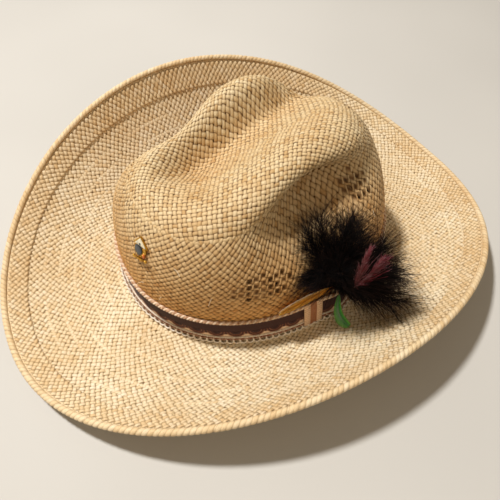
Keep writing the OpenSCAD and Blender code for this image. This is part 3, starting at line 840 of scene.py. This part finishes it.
# ---- the band ----
def band_frame(th, z, out):
    """Points, outward and upward directions on the crown's wall at height z, beyond the band's offset."""
    point = off_crown(th, z, band_off(th) + out)
    normal = crown_normal(th, wall_place(th, z))
    step = math.radians(0.3)
    ahead_of = off_crown(th + step, z, band_off(th + step) + out)
    along = unit(ahead_of - point)
    return point, normal, unit(np.cross(along, normal)) * -1


def girth_angles(count):
    return turn_at(np.linspace(0, TURN, count, endpoint=False), CROWN_EVEN)


PLIES, PLY_SHARE = 2, 0.56  # the yarns in a cord, and one yarn's share of the cord's radius


def rope(parts, centre, out, up, radius, turns, tones=(0.3, 0.6), sides=5):
    """Plies twisted round a closed path; out and up are directions across it."""
    n = len(centre)
    share = np.arange(n) / n
    for k in range(PLIES):
        angle = TURN * (turns * share + k / PLIES)
        swing = np.cos(angle)[:, None] * out + np.sin(angle)[:, None] * up
        path = centre + radius * (1 - PLY_SHARE) * swing
        verts, faces, uv = tube(path, radius * PLY_SHARE, sides, closed=True)
        tone = np.repeat(np.clip(tones[k % len(tones)] + 0.12 * rng.standard_normal(n), 0, 1), sides)
        parts.add(verts, faces, uv, tone=tone)


def slab(parts, outer, inner, closed, tone):
    """A closed strip between two grids of points; the grids' columns may close into a ring."""
    n, m = outer.shape[:2]
    quads = grid_faces(n, m, closed=closed, turned=True)
    start = n * m
    span = m if closed else m - 1
    first, last = np.arange(span), (n - 1) * m + np.arange(span)
    after = (np.arange(span) + 1) % m
    faces = quads.tolist() + (quads[:, ::-1] + start).tolist()
    faces += np.stack([first, after, after + start, first + start], -1)[:, ::-1].tolist()
    faces += np.stack([last, (n - 1) * m + after, (n - 1) * m + after + start, last + start], -1).tolist()
    if not closed:
        low, high = np.arange(n - 1) * m, np.arange(1, n) * m
        faces += np.stack([low, high, high + start, low + start], -1).tolist()
        low, high = low + m - 1, high + m - 1
        faces += np.stack([low, high, high + start, low + start], -1)[:, ::-1].tolist()
    verts = np.concatenate([outer.reshape(-1, 3), inner.reshape(-1, 3)])
    tone = np.asarray(tone, float)
    parts.add(verts, faces, tone=np.concatenate([np.broadcast_to(tone, (n, m)).ravel()] * 2))


SCALLOPS, SCALLOP_TOP, SCALLOP_REACH = 46, 24.4, 6.0
CHAIN_PITCH, PICOTS = 4.3, 138


def band_pattern(th, z):
    """(tone, height) of the woven band: dark, with tan scallops and cream points along its lower edge."""
    run = INNER_GIRTH * (np.asarray(th) / TURN)
    period = INNER_GIRTH / SCALLOPS
    side = (run / period - np.floor(run / period) - 0.5) * period
    far = np.hypot(side, (SCALLOP_TOP - z) * 0.84)
    arc = 0.5 + 0.5 * np.cos(TURN * far / 1.9)
    rib = 0.5 + 0.5 * np.cos(TURN * (z * 1.15 + 0.35 * np.sin(TURN * run / 1.5)))
    in_scallop = (z < SCALLOP_TOP) & (far < SCALLOP_REACH)
    cream = (z < SCALLOP_TOP - 0.6 * np.abs(side)) & (far >= SCALLOP_REACH + 0.2)
    tone = np.where(in_scallop, 0.96 - 0.5 * arc * smooth(2.2, 4, far), 0.84 + 0.14 * rib)
    stitch = 0.5 + 0.5 * np.sin(TURN * run / 1.1) * np.sin(TURN * z / 1.1)
    tone = np.where(cream, 0.04 + 0.12 * stitch, tone)
    height = np.where(in_scallop, 0.35 * arc, 0.16 * rib)
    return tone, np.where(cream, 0.3 + 0.1 * np.sin(TURN * run / 1.1) * np.sin(TURN * z / 1.1), height)


def build_band():
    cols = 1500
    th = girth_angles(cols)
    z = np.linspace(BAND_LOW, BAND_LOW + BAND_HEIGHT, 50)[:, None]
    run_th = np.linspace(0, TURN, cols, endpoint=False)
    tone, height = band_pattern(run_th[None], z)
    point, normal, _ = band_frame(th[None] + 0 * z, z + 0 * th[None], BAND_THICK - 0.3)
    outer = point + normal * height[..., None]
    outer[0] -= normal[0] * 0.5
    outer[-1] -= normal[-1] * 0.4
    inner = off_crown(th[None] + 0 * z, z + 0 * th[None], band_off(th)[None] + 0 * z)
    body = Parts()
    slab(body, outer, inner, True, np.clip(tone + 0.03 * rng.standard_normal(tone.shape), 0, 1))
    ribbon = body.make("hat_band_weave", "hat", "band_brown", band_thread, "hat_band")
    top = Parts()
    th = girth_angles(1800)
    centre, out, up = band_frame(th, np.full(len(th), BAND_LOW + BAND_HEIGHT + 1.2), 1.5)
    rope(top, centre, out, up, 1.5, int(INNER_GIRTH / 4.2), tones=(0.1, 0.7), sides=6)
    top.make("band_top_cord_twist", "hat", "cord_tan", tan_thread, "band_top_cord")
    # Below the band: a brown twisted chain and a row of cream loops
    lace = Parts()
    centre, out, up = band_frame(th, np.full(len(th), BAND_LOW - 1.5), 2.1)
    rope(lace, centre, out, up, 1.1, int(INNER_GIRTH / CHAIN_PITCH), tones=(1.0, 0.85), sides=6)
    centre, out, up = band_frame(th, np.full(len(th), BAND_LOW + 0.3), 1.9)
    rope(lace, centre, out, up, 0.7, int(INNER_GIRTH / 2.6), tones=(0.3, 0.0), sides=5)
    swing = np.linspace(0, TURN * PICOTS, PICOTS * 16, endpoint=False)
    run = swing / PICOTS - 1.15 * np.sin(swing) / INNER_GIRTH * TURN
    z = BAND_LOW - 3.0 + 1.3 * np.cos(swing)
    loop_th = turn_at(run, CROWN_EVEN)
    path, _, _ = band_frame(loop_th, z, 3.1 - 0.9 * np.cos(swing) + 0.2 * np.sin(swing))
    verts, faces, uv = tube(path, 0.62, 6, closed=True)
    lace.add(verts, faces, uv, tone=np.repeat(np.clip(0.12 + 0.1 * rng.standard_normal(len(path)), 0, 1), 6))
    lace.make("band_lace_loops", "hat", "lace_cream", lace_thread, "band_lace_edge")
    build_keeper()


def build_keeper():
    """The trim over the band's ends: a tan chain down each side of a brown strip."""
    keeper = Parts()
    middle, half = math.radians(-2.6), math.radians(3.9)
    rows, cols = 110, 49
    z = np.linspace(13.0, 40.0, rows)[:, None] + np.zeros((1, cols))
    s = np.linspace(-1, 1, cols)[None] + np.zeros((rows, 1))
    chain = np.abs(s) > 0.36
    side = (np.abs(s) - 0.68) / 0.32
    knit = 0.5 + 0.5 * np.cos(TURN * (z / 2.5 + 0.45 * np.abs(side)))
    bulge = np.where(chain, 0.75 * np.sqrt(np.clip(1 - side**2, 0, 1)) * (0.55 + 0.45 * knit),
                     0.3 + 0.18 * np.cos(TURN * z / 1.2))
    tone = np.where(chain, 0.2 + 0.6 * (1 - knit), 0.97)
    th = middle + half * s
    base = 2.8
    point = off_crown(th, z, band_off(th) + base)
    normal = crown_normal(th, wall_place(th, z))
    slab(keeper, point + normal * (0.35 + bulge)[..., None], point, False, tone)
    keeper.make("band_keeper_trim", "hat", "keeper_tan", tan_thread, "band_keeper")


build_band()


# ---- inside the crown: the sweatband and its bow ----
SWEAT_LOW, SWEAT_HEIGHT, SWEAT_THICK = 11.6, 33.0, 1.1


def sweat_point(th, s, out=0.0):
    z = SWEAT_LOW + SWEAT_HEIGHT * s
    return off_crown(th, z, -STRAW - 0.6 - 1.6 * s + out)


def build_sweatband():
    th = girth_angles(360)
    s = np.concatenate([[0, 0.008, 0.03], np.linspace(0.06, 0.94, 22), [0.97, 0.992, 1]])[:, None]
    ripple = 0.16 * np.sin(37 * th)[None] * s + 0.1 * np.sin(91 * th + 2)[None] * s**2
    pinch = 0.35 * (1 - np.minimum(1, np.minimum(s, 1 - s) / 0.03) ** 0.5)
    outer = sweat_point(th[None] + 0 * s, s + 0 * th[None], -pinch - np.maximum(ripple, 0) * 0.3)
    inner = sweat_point(th[None] + 0 * s, s + 0 * th[None], -SWEAT_THICK + pinch + ripple)
    band = Parts()
    slab(band, outer, inner, True, np.clip(0.35 + 0.3 * np.sin(5 * th)[None] + 0.25 * (1 - s), 0, 1))
    piece = band.make("sweatband_leather", "hat", "leather_tan", leather, "sweatband")
    # The bow: two loops, two tails and a knot of flat lace, on the leather at the back
    bow = Parts()
    foot = off_crown(math.radians(90), 18.6, -STRAW - 0.6 - SWEAT_THICK - 1.15)
    inward = -crown_normal(math.radians(90), wall_place(math.radians(90), 18.6))
    across, up = np.array([1.0, 0, 0]), unit(np.cross(inward, [1.0, 0, 0]))
    up = up if up[2] > 0 else -up

    def lace(points, width, thick):
        path = np.array([foot + x * across + y * up + d * inward for x, y, d in points])
        steps = np.linspace(0, len(path) - 1, 40)
        path = np.stack([np.interp(steps, np.arange(len(path)), path[:, k]) for k in range(3)], -1)
        for _ in range(3):
            path[1:-1] = (path[:-2] + 2 * path[1:-1] + path[2:]) / 4
        verts, faces, uv = tube(path, np.full(len(path), width / 2), 8, squash=thick / width, up=inward)
        bow.add(verts, faces + caps(len(verts), 8), uv, tone=0.4 + 0.1 * rng.random())

    for sign in (-1, 1):
        lace([(0, 0, 0.3), (3 * sign, 1.6, 0.5), (7 * sign, 2.4, 0.2), (8.4 * sign, 0.6, 0.5),
              (6 * sign, -0.9, 0.9), (2.5 * sign, -0.5, 0.9), (0, 0, 0.6)], 1.8, 0.7)
        lace([(0, 0, 0.2), (2 * sign, -2.2, 0.3), (4.5 * sign, -4.2, 0.1)], 1.8, 0.6)
    lace([(-1.1, 0.9, 0.6), (0, 0.2, 1.2), (1.1, -0.7, 0.6)], 2.0, 1.2)
    bow.make("sweatband_lace_bow", "hat", "leather_dark", bow_leather, "sweatband_bow")


build_sweatband()


# ---- the plume ----
def curve(guide, s):
    s = np.asarray(s, float)[..., None]
    a, b, c, d = [np.asarray(g, float) for g in guide]
    return (1 - s) ** 3 * a + 3 * s * (1 - s) ** 2 * b + 3 * s**2 * (1 - s) * c + s**3 * d


stem_foot = off_crown(PLUME_ANGLE, BAND_LOW + 3, GAP + STEM_BULGE / 2)
stem_head = off_crown(PLUME_ANGLE, BAND_LOW + BAND_HEIGHT, GAP + STEM_BULGE / 2)
stem_dir = unit(stem_head - stem_foot)
stem_normal = crown_normal(PLUME_ANGLE, wall_place(PLUME_ANGLE, BAND_LOW + BAND_HEIGHT))
stem_out = unit(stem_normal - (stem_normal @ stem_dir) * stem_dir)
stem_back = np.cross(stem_dir, stem_out)


def plume_xyz(behind, out, up):
    return stem_head + behind * stem_back + out * stem_out + up * stem_dir


# How far out the crown's left wall comes at each y and height, and how high the brim is under a point
WALL_Y, WALL_Z = np.linspace(-80, 80, 81), np.linspace(13, 112, 50)
left_wall = np.zeros((len(WALL_Z), len(WALL_Y)))
for row, height in enumerate(WALL_Z):
    th = np.radians(np.linspace(-75, 75, 151))
    wall = off_crown(th, height + 0 * th, 0 * th)
    left_wall[row] = np.interp(WALL_Y, wall[:, 1], wall[:, 0])


def clear_of_hat(points, gap):
    """Moves points out of the crown's left wall and up off the brim."""
    points = points.copy()
    x, y, z = points[..., 0], points[..., 1], points[..., 2]
    row = np.clip((z - WALL_Z[0]) / (WALL_Z[1] - WALL_Z[0]), 0, len(WALL_Z) - 1.001)
    col = np.clip((y - WALL_Y[0]) / (WALL_Y[1] - WALL_Y[0]), 0, len(WALL_Y) - 1.001)
    i, j = row.astype(int), col.astype(int)
    f, g = row - i, col - j
    wall = ((left_wall[i, j] * (1 - g) + left_wall[i, j + 1] * g) * (1 - f)
            + (left_wall[i + 1, j] * (1 - g) + left_wall[i + 1, j + 1] * g) * f)
    points[..., 0] = np.where(z < WALL_Z[-1], np.maximum(x, wall + gap), x)
    x = points[..., 0]
    th = np.arctan2(y, x * 1.2)
    inner, outer = brim_point(th, 0 * th), brim_point(th, 0 * th + 1)
    span = outer[..., :2] - inner[..., :2]
    t = ((points[..., :2] - inner[..., :2]) * span).sum(-1) / (span**2).sum(-1)
    points[..., 2] = np.maximum(z, brim_point(th, np.clip(t, 0, 1))[..., 2] + gap)
    return points


def strands(parts, paths, width, gap, tones, taper=0.75):
    """Thin three-sided tapering strands; paths is strands by steps by 3, width one per strand."""
    n, steps = paths.shape[:2]
    along = unit(np.gradient(paths, axis=1))
    out = unit(np.cross(along, np.array([0.3, 0.5, 0.81])))
    over = np.cross(out, along)
    s = np.linspace(0, 1, steps)
    radius = width[:, None] * (1 - taper * s**1.5)[None]
    ring = TURN * np.arange(3) / 3
    paths = clear_of_hat(paths, gap)
    verts = (paths[:, :, None] + radius[..., None, None] * (np.cos(ring)[:, None] * out[:, :, None]
             + np.sin(ring)[:, None] * over[:, :, None]))
    one = grid_faces(steps, 3, closed=True, turned=True).tolist()
    quads = (np.array(one)[None] + (np.arange(n) * steps * 3)[:, None, None]).reshape(-1, 4)
    verts = verts.reshape(-1, 3)
    start = np.arange(n)[:, None] * steps * 3
    caps = np.concatenate([start + np.array([[2, 1, 0]]), start + (steps - 1) * 3 + np.array([[0, 1, 2]])])
    tone = np.clip(tones[:, None] + s[None], 0, 1)
    parts.add(verts, [list(q) for q in quads] + [list(c) for c in caps], tone=np.repeat(tone.ravel(), 3))


def spread_unit(n):
    return unit(rng.standard_normal((n, 3)))


MARABOU_SHAFTS, MARABOU_BARBS = 44, 210
FAN_TIPS = (off_crown(math.radians(-5), 66, 7), (38, 4, 130), (100, 62, 98), (118, 54, 22))


def build_marabou():
    fan_root = plume_xyz(0, 2.5, 11)
    down = Parts()
    steps = 8
    for shaft in range(MARABOU_SHAFTS):
        turn = -0.04 + 1.08 * (shaft + rng.random()) / MARABOU_SHAFTS
        reach = 0.72 + 0.24 * rng.random() if shaft % 3 else 0.4 + 0.2 * rng.random()
        tip = fan_root + reach * (curve(FAN_TIPS, np.clip(turn, 0, 1)) - fan_root)
        tip = tip + 5.5 * rng.standard_normal() * stem_out + 2.5 * rng.standard_normal(3)
        bow = 4 * rng.standard_normal() * stem_out + 2.5 * rng.standard_normal(3) + np.array([0, 0, 2.0])
        s = np.linspace(0, 1, 24)
        foot = plume_xyz(0.8 * rng.standard_normal(), 0.6 + 0.4 * rng.standard_normal(), 7)
        guide = (foot, fan_root + bow * 0.4, (fan_root + tip) / 2 + bow, tip)
        path = curve(guide, s)
        strands(down, path[None], np.array([0.34]), 1.2, np.array([0.0]), 0.6)
        n = MARABOU_BARBS
        place = rng.random(n) ** 0.8 * 0.95 + 0.05
        root = curve(guide, place)
        ahead_of = unit(curve(guide, np.minimum(place + 0.03, 1)) - curve(guide, place - 0.03))
        # Barbs go off in clumps, so that wisps stand out at the edge
        clump = spread_unit(20)[rng.integers(0, 20, n)]
        side = clump + 0.22 * rng.standard_normal((n, 3))
        side = unit(side - (side * ahead_of).sum(1, keepdims=True) * ahead_of)
        length = (10 + 22 * rng.random(n) ** 1.4) * (0.8 + 0.35 * np.sin(math.pi * place))
        lean = 0.3 + 0.65 * rng.random(n)
        u = np.linspace(0, 1, steps)[None, :, None]
        aim = unit(ahead_of * 0.95 + side * lean[:, None])
        sway = spread_unit(n)
        bend = (0.11 * sway + np.array([0.05, 0.03, -0.14])) * length[:, None]
        ripple = 0.35 * np.sin(u * (5 + 3 * rng.random((n, 1, 1))) + TURN * rng.random((n, 1, 1))) * u
        paths = (root[:, None] + u * (length[:, None] * aim)[:, None] + u**2 * bend[:, None]
                 + ripple * spread_unit(n)[:, None])
        strands(down, paths, 0.11 + 0.08 * rng.random(n), 0.9, -0.3 + 0.35 * rng.random(n), 0.85)
    down.make("marabou_down", "plume", "feather_black", black_barbs, "marabou_black")


def vane(parts, guide, flat_side, half_width, count, angle, width, tone, tip_out, loose, curl, shape):
    """A feather: a shaft along a curve with barbs packed side by side on both sides of it."""
    s = np.linspace(0, 1, 30)
    path = curve(guide, s)
    strands(parts, path[None], np.array([0.3]), 0.35, np.array([tone - 0.3]), 0.8)
    place = np.linspace(0.06, 0.985, count)
    root = curve(guide, place)
    ahead_of = unit(curve(guide, np.minimum(place + 0.02, 1)) - curve(guide, place - 0.02))
    flat = flat_side - (ahead_of @ flat_side)[:, None] * ahead_of
    flat = unit(flat)
    over = np.cross(ahead_of, flat)
    reach = half_width * np.sin(math.pi * place**0.8) ** shape * (1 - tip_out * place)
    u = np.linspace(0, 1, 6)[None, :, None]
    for sign in (-1, 1):
        stray = 1 + loose * rng.standard_normal((count, 1, 1))
        run = reach[:, None, None] / math.sin(angle) * stray
        aim = math.sin(angle) * sign * flat[:, None] + math.cos(angle) * ahead_of[:, None]
        paths = root[:, None] + u * run * aim + u**2 * run * 0.18 * ahead_of[:, None]
        paths = paths + curl * u**2 * reach[:, None, None] * over[:, None]
        paths = paths + loose * 3 * u**2 * rng.standard_normal((count, 1, 3))
        strands(parts, paths, np.full(count, width), 0.3, tone + 0.15 * rng.random(count) - 0.2, 0.45)


def build_feathers():
    red = Parts()
    for tips in (((3, 14, 19), (4, 17, 31), (5, 17, 43), (12, 15, 54)),
                 ((3, 14, 19), (8, 18, 26), (13, 20, 34), (19, 20, 44))):
        guide = [plume_xyz(*p) for p in tips]
        vane(red, guide, stem_dir, 3.4, 90, math.radians(17), 0.14, 0.1, 0.3, 0.4, 0.1, 0.5)
    red.make("feather_red_barbs", "plume", "feather_red", red_barbs, "feather_red")
    green = Parts()
    guide = [plume_xyz(-2, 7, 11), plume_xyz(-8.5, 10.5, 3), plume_xyz(-9, 14, -8), plume_xyz(-2.5, 19, -19)]
    vane(green, guide, stem_back, 3.7, 160, math.radians(28), 0.19, 0.15, 0.0, 0.03, 0.25, 0.6)
    green.make("feather_green_barbs", "plume", "feather_green", green_barbs, "feather_green")
    gold = Parts()
    for rise, spread, off in ((0.0, 1.0, 3.6), (3.4, 0.85, 5.2)):
        guide = [off_crown(PLUME_ANGLE + math.radians(a), BAND_LOW + BAND_HEIGHT + up + rise, off)
                 for a, up in ((-2, 9), (-9, 9.5), (-16, 9), (-24, 6.5))]
        vane(gold, guide, np.array([0.0, 0, 1.0]), 5.2 * spread, 190, math.radians(26), 0.22, 0.3,
             0.2, 0.05, 0.15, 0.55)
    gold.make("feather_gold_barbs", "plume", "feather_gold", gold_barbs, "feather_gold")


def build_straw_ends():
    """A few loose straw ends that stand off the crown and the brim."""
    ends = Parts()
    for k in range(34):
        th = TURN * rng.random()
        on_crown = k % 2 == 0
        place = rng.uniform(40, 84) if on_crown else rng.uniform(0.15, 0.8)
        root = off_crown(th, place, 0.3) if on_crown else brim_point(th, place)
        normal = crown_normal(th, wall_place(th, place)) if on_crown else brim_normal(th, place)
        along = unit(np.cross(normal, spread_unit(1)[0]))
        side = np.cross(normal, along)
        s = np.linspace(0, 1, 7)[:, None]
        length = rng.uniform(3, 6.5)
        sideways = 0.35 * rng.standard_normal() * s**2 * side
        path = root + 0.4 * normal + length * (s * along + 0.3 * s**2 * normal + sideways)
        verts, faces, uv = tube(path, 0.22 * (1 - 0.5 * s[:, 0]), 5)
        ends.add(verts, faces + caps(len(verts), 5), uv, tone=0.3 * rng.random(), edge=0.0)
    ends.make("straw_loose_ends", "hat", "straw_brim", straw_brim)


def build_binding():
    """Thread wound round the quills where they come out above the band."""
    wraps, wrap = 8, Parts()
    turn = np.linspace(0, TURN * wraps, wraps * 20)
    rise = np.linspace(-2.1, 2.1, len(turn))
    middle = plume_xyz(0, 0, 6.1 + 2.5)
    path = (middle + (1.4 * np.cos(turn))[:, None] * stem_out + (3.7 * np.sin(turn))[:, None] * stem_back
            + rise[:, None] * stem_dir)
    verts, faces, uv = tube(path, 0.31, 6)
    wrap.add(verts, faces + caps(len(verts), 6), uv, tone=0.3 + 0.3 * np.repeat(rng.random(len(path)), 6))
    ring = np.linspace(0, TURN, 32, endpoint=False)
    core = [middle + (r * 1.4 * np.cos(ring))[:, None] * stem_out
            + (r * 3.7 * np.sin(ring))[:, None] * stem_back + up * stem_dir
            for r, up in ((0.5, -2.4), (0.95, -2.3), (1.0, 0), (0.95, 2.3), (0.5, 2.4))]
    faces = grid_faces(5, 32, closed=True, turned=True).tolist() + caps(5 * 32, 32)
    wrap.add(np.array(core), faces, tone=0.9)
    wrap.make("plume_binding_thread", "plume", "binding_brown", brown_wrap, "plume_binding")


build_marabou()
build_feathers()
build_binding()
build_straw_ends()


# ---- the pin: generic shapes on a gold plate ----
PIN_ANGLE, PIN_HEIGHT, PIN_LENGTH, PIN_TILT = math.radians(-73), 80.0, 18.0, math.radians(14)
pin_place = off_crown(PIN_ANGLE, PIN_HEIGHT, 0.0)
pin_out = crown_normal(PIN_ANGLE, wall_place(PIN_ANGLE, PIN_HEIGHT))


def pin_axes():
    """The plate's two directions across and up, as the CAD turns them."""
    lean = math.acos(pin_out[2])
    spin = math.atan2(pin_out[1], pin_out[0])
    turn = math.pi / 2 + PIN_TILT
    axes = Matrix.Rotation(spin, 3, "Z") @ Matrix.Rotation(lean, 3, "Y") @ Matrix.Rotation(turn, 3, "Z")
    return np.array(axes.col[0]), np.array(axes.col[1])


pin_x, pin_y = pin_axes()


def pin_plaque(parts, outline, low, high, bevel=0.25, tone=0.5, mottle=0.0, crown=0.0):
    """A flat raised shape with a rounded edge, from an outline in the pin's own plane."""
    outline = np.asarray(outline, float)
    centre = outline.mean(0)
    rings, far = [], np.linalg.norm(outline - centre, axis=1, keepdims=True)
    for shrink, height in ((0, low), (0, high - bevel), (0.3, high - 0.3 * bevel), (1, high)):
        rings.append((centre + (outline - centre) * (1 - bevel * shrink / far), height))
    for share in (0.7, 0.4, 0.12):
        rings.append((centre + (rings[3][0] - centre) * share, high + crown * (1 - share**2)))
    verts = np.concatenate([pin_place + flat[:, :1] * pin_x + flat[:, 1:] * pin_y + height * pin_out
                            for flat, height in rings])
    n = len(outline)
    faces = grid_faces(len(rings), n, closed=True).tolist() + caps(len(verts), n)
    parts.add(verts, faces, tone=np.clip(tone + mottle * rng.standard_normal(len(verts)), 0, 1))


def rounded(points, radius, count=7):
    """A polygon, anticlockwise, with its corners rounded."""
    points = np.asarray(points, float)
    out = []
    for before, here, after in zip(np.roll(points, 1, 0), points, np.roll(points, -1, 0)):
        a, b = unit(before - here), unit(after - here)
        start, end = here + a * radius, here + b * radius
        for s in np.linspace(0, 1, count):
            out.append((1 - s) ** 2 * start + 2 * s * (1 - s) * here + s * s * end)
    return np.array(out)


def disc(x, y, rx, ry=None, count=40):
    ring = np.linspace(0, TURN, count, endpoint=False)
    return np.stack([x + rx * np.cos(ring), y + (rx if ry is None else ry) * np.sin(ring)], -1)


def pin_block(half, low, high):
    """A rectangle's corners, from shares of the pin's length."""
    return PIN_LENGTH * np.array([[-half, low], [half, low], [half, high], [-half, high]])


def build_pin():
    size = PIN_LENGTH
    plate, dark, cream, bar = Parts(), Parts(), Parts(), Parts()
    front = 1.8
    pin_plaque(plate, disc(0, 0, 0.3 * size), 0.6, front)
    pin_plaque(plate, rounded(size * np.array([[-0.36, 0.18], [0.42, 0.10], [0.05, 0.52]]), 0.9), 0.7, front)
    pin_plaque(plate, rounded(pin_block(0.07, -0.48, -0.2), 0.5), 0.7, front)
    mid_x, mid_y = -0.06 * size, -0.03 * size
    pin_plaque(dark, disc(mid_x, mid_y, 0.2 * size, 0.21 * size, 56), front - 0.2, front + 0.7,
               0.35, 0.4, 0.25, 0.25)
    for turn in np.linspace(0, TURN, 22, endpoint=False):
        bead_x, bead_y = mid_x + 0.245 * size * math.cos(turn), mid_y + 0.25 * size * math.sin(turn)
        pin_plaque(plate, disc(bead_x, bead_y, 0.32, None, 10), front - 0.1, front + 0.35, 0.15)
    pin_plaque(cream, rounded(size * np.array([[-0.22, 0.205], [0.34, 0.14], [0.06, 0.46]]), 0.8),
               front - 0.2, front + 0.8, 0.3, 0.6, 0.1, 0.15)
    pin_plaque(dark, disc(0.08 * size, 0.25 * size, 0.045 * size, 0.05 * size, 20), front + 0.6, front + 1.15,
               0.15, 0.8, 0.1)
    pin_plaque(bar, rounded(pin_block(0.31, -0.40, -0.32), 0.6), front - 0.2, front + 0.9, 0.3)
    for x in (-0.31, 0.31):
        pin_plaque(bar, disc(x * size, -0.36 * size, 0.06 * size, None, 24), front - 0.2, front + 0.95, 0.3)
    for x in np.linspace(-0.2, 0.2, 6):
        pin_plaque(bar, disc(x * size, -0.36 * size, 0.28, 0.62, 14), front + 0.6, front + 1.15, 0.15)
    drop = Parts()
    pin_plaque(drop, disc(0.2 * size, -0.2 * size, 0.9, 1.7, 28), front - 1.0, front + 0.5,
               0.3, 0.5, 0.2, 0.3)
    for parts, name, node, slot, look in (
            (plate, "pin_plate_beads", "pin_plate", "pin_gold", gold_metal),
            (dark, "pin_dark_oval", "pin_dark_enamel", "enamel_dark", dark_enamel),
            (cream, "pin_cream_point", "pin_cream_enamel", "enamel_cream", cream_enamel),
            (bar, "pin_bar_ribs", "pin_bar", "pin_gold", gold_metal)):
        parts.make(name, "pin", slot, look, node)
    drop.make("pin_orange_drop", "pin", "enamel_cream", orange_enamel)


build_pin()


# ---- looks for the CAD nodes that stay in view ----
for node, look in (("brim_wire", steel_metal), ("band_tacks", sewing_thread),
                   ("sweatband_stitching", sewing_thread), ("plume_quills", quill_horn),
                   ("pin_post", steel_metal), ("clutch_cap", gold_metal), ("clutch_wings", gold_metal)):
    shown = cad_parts[node]
    shown.data.materials.clear()
    shown.data.materials.append(look)
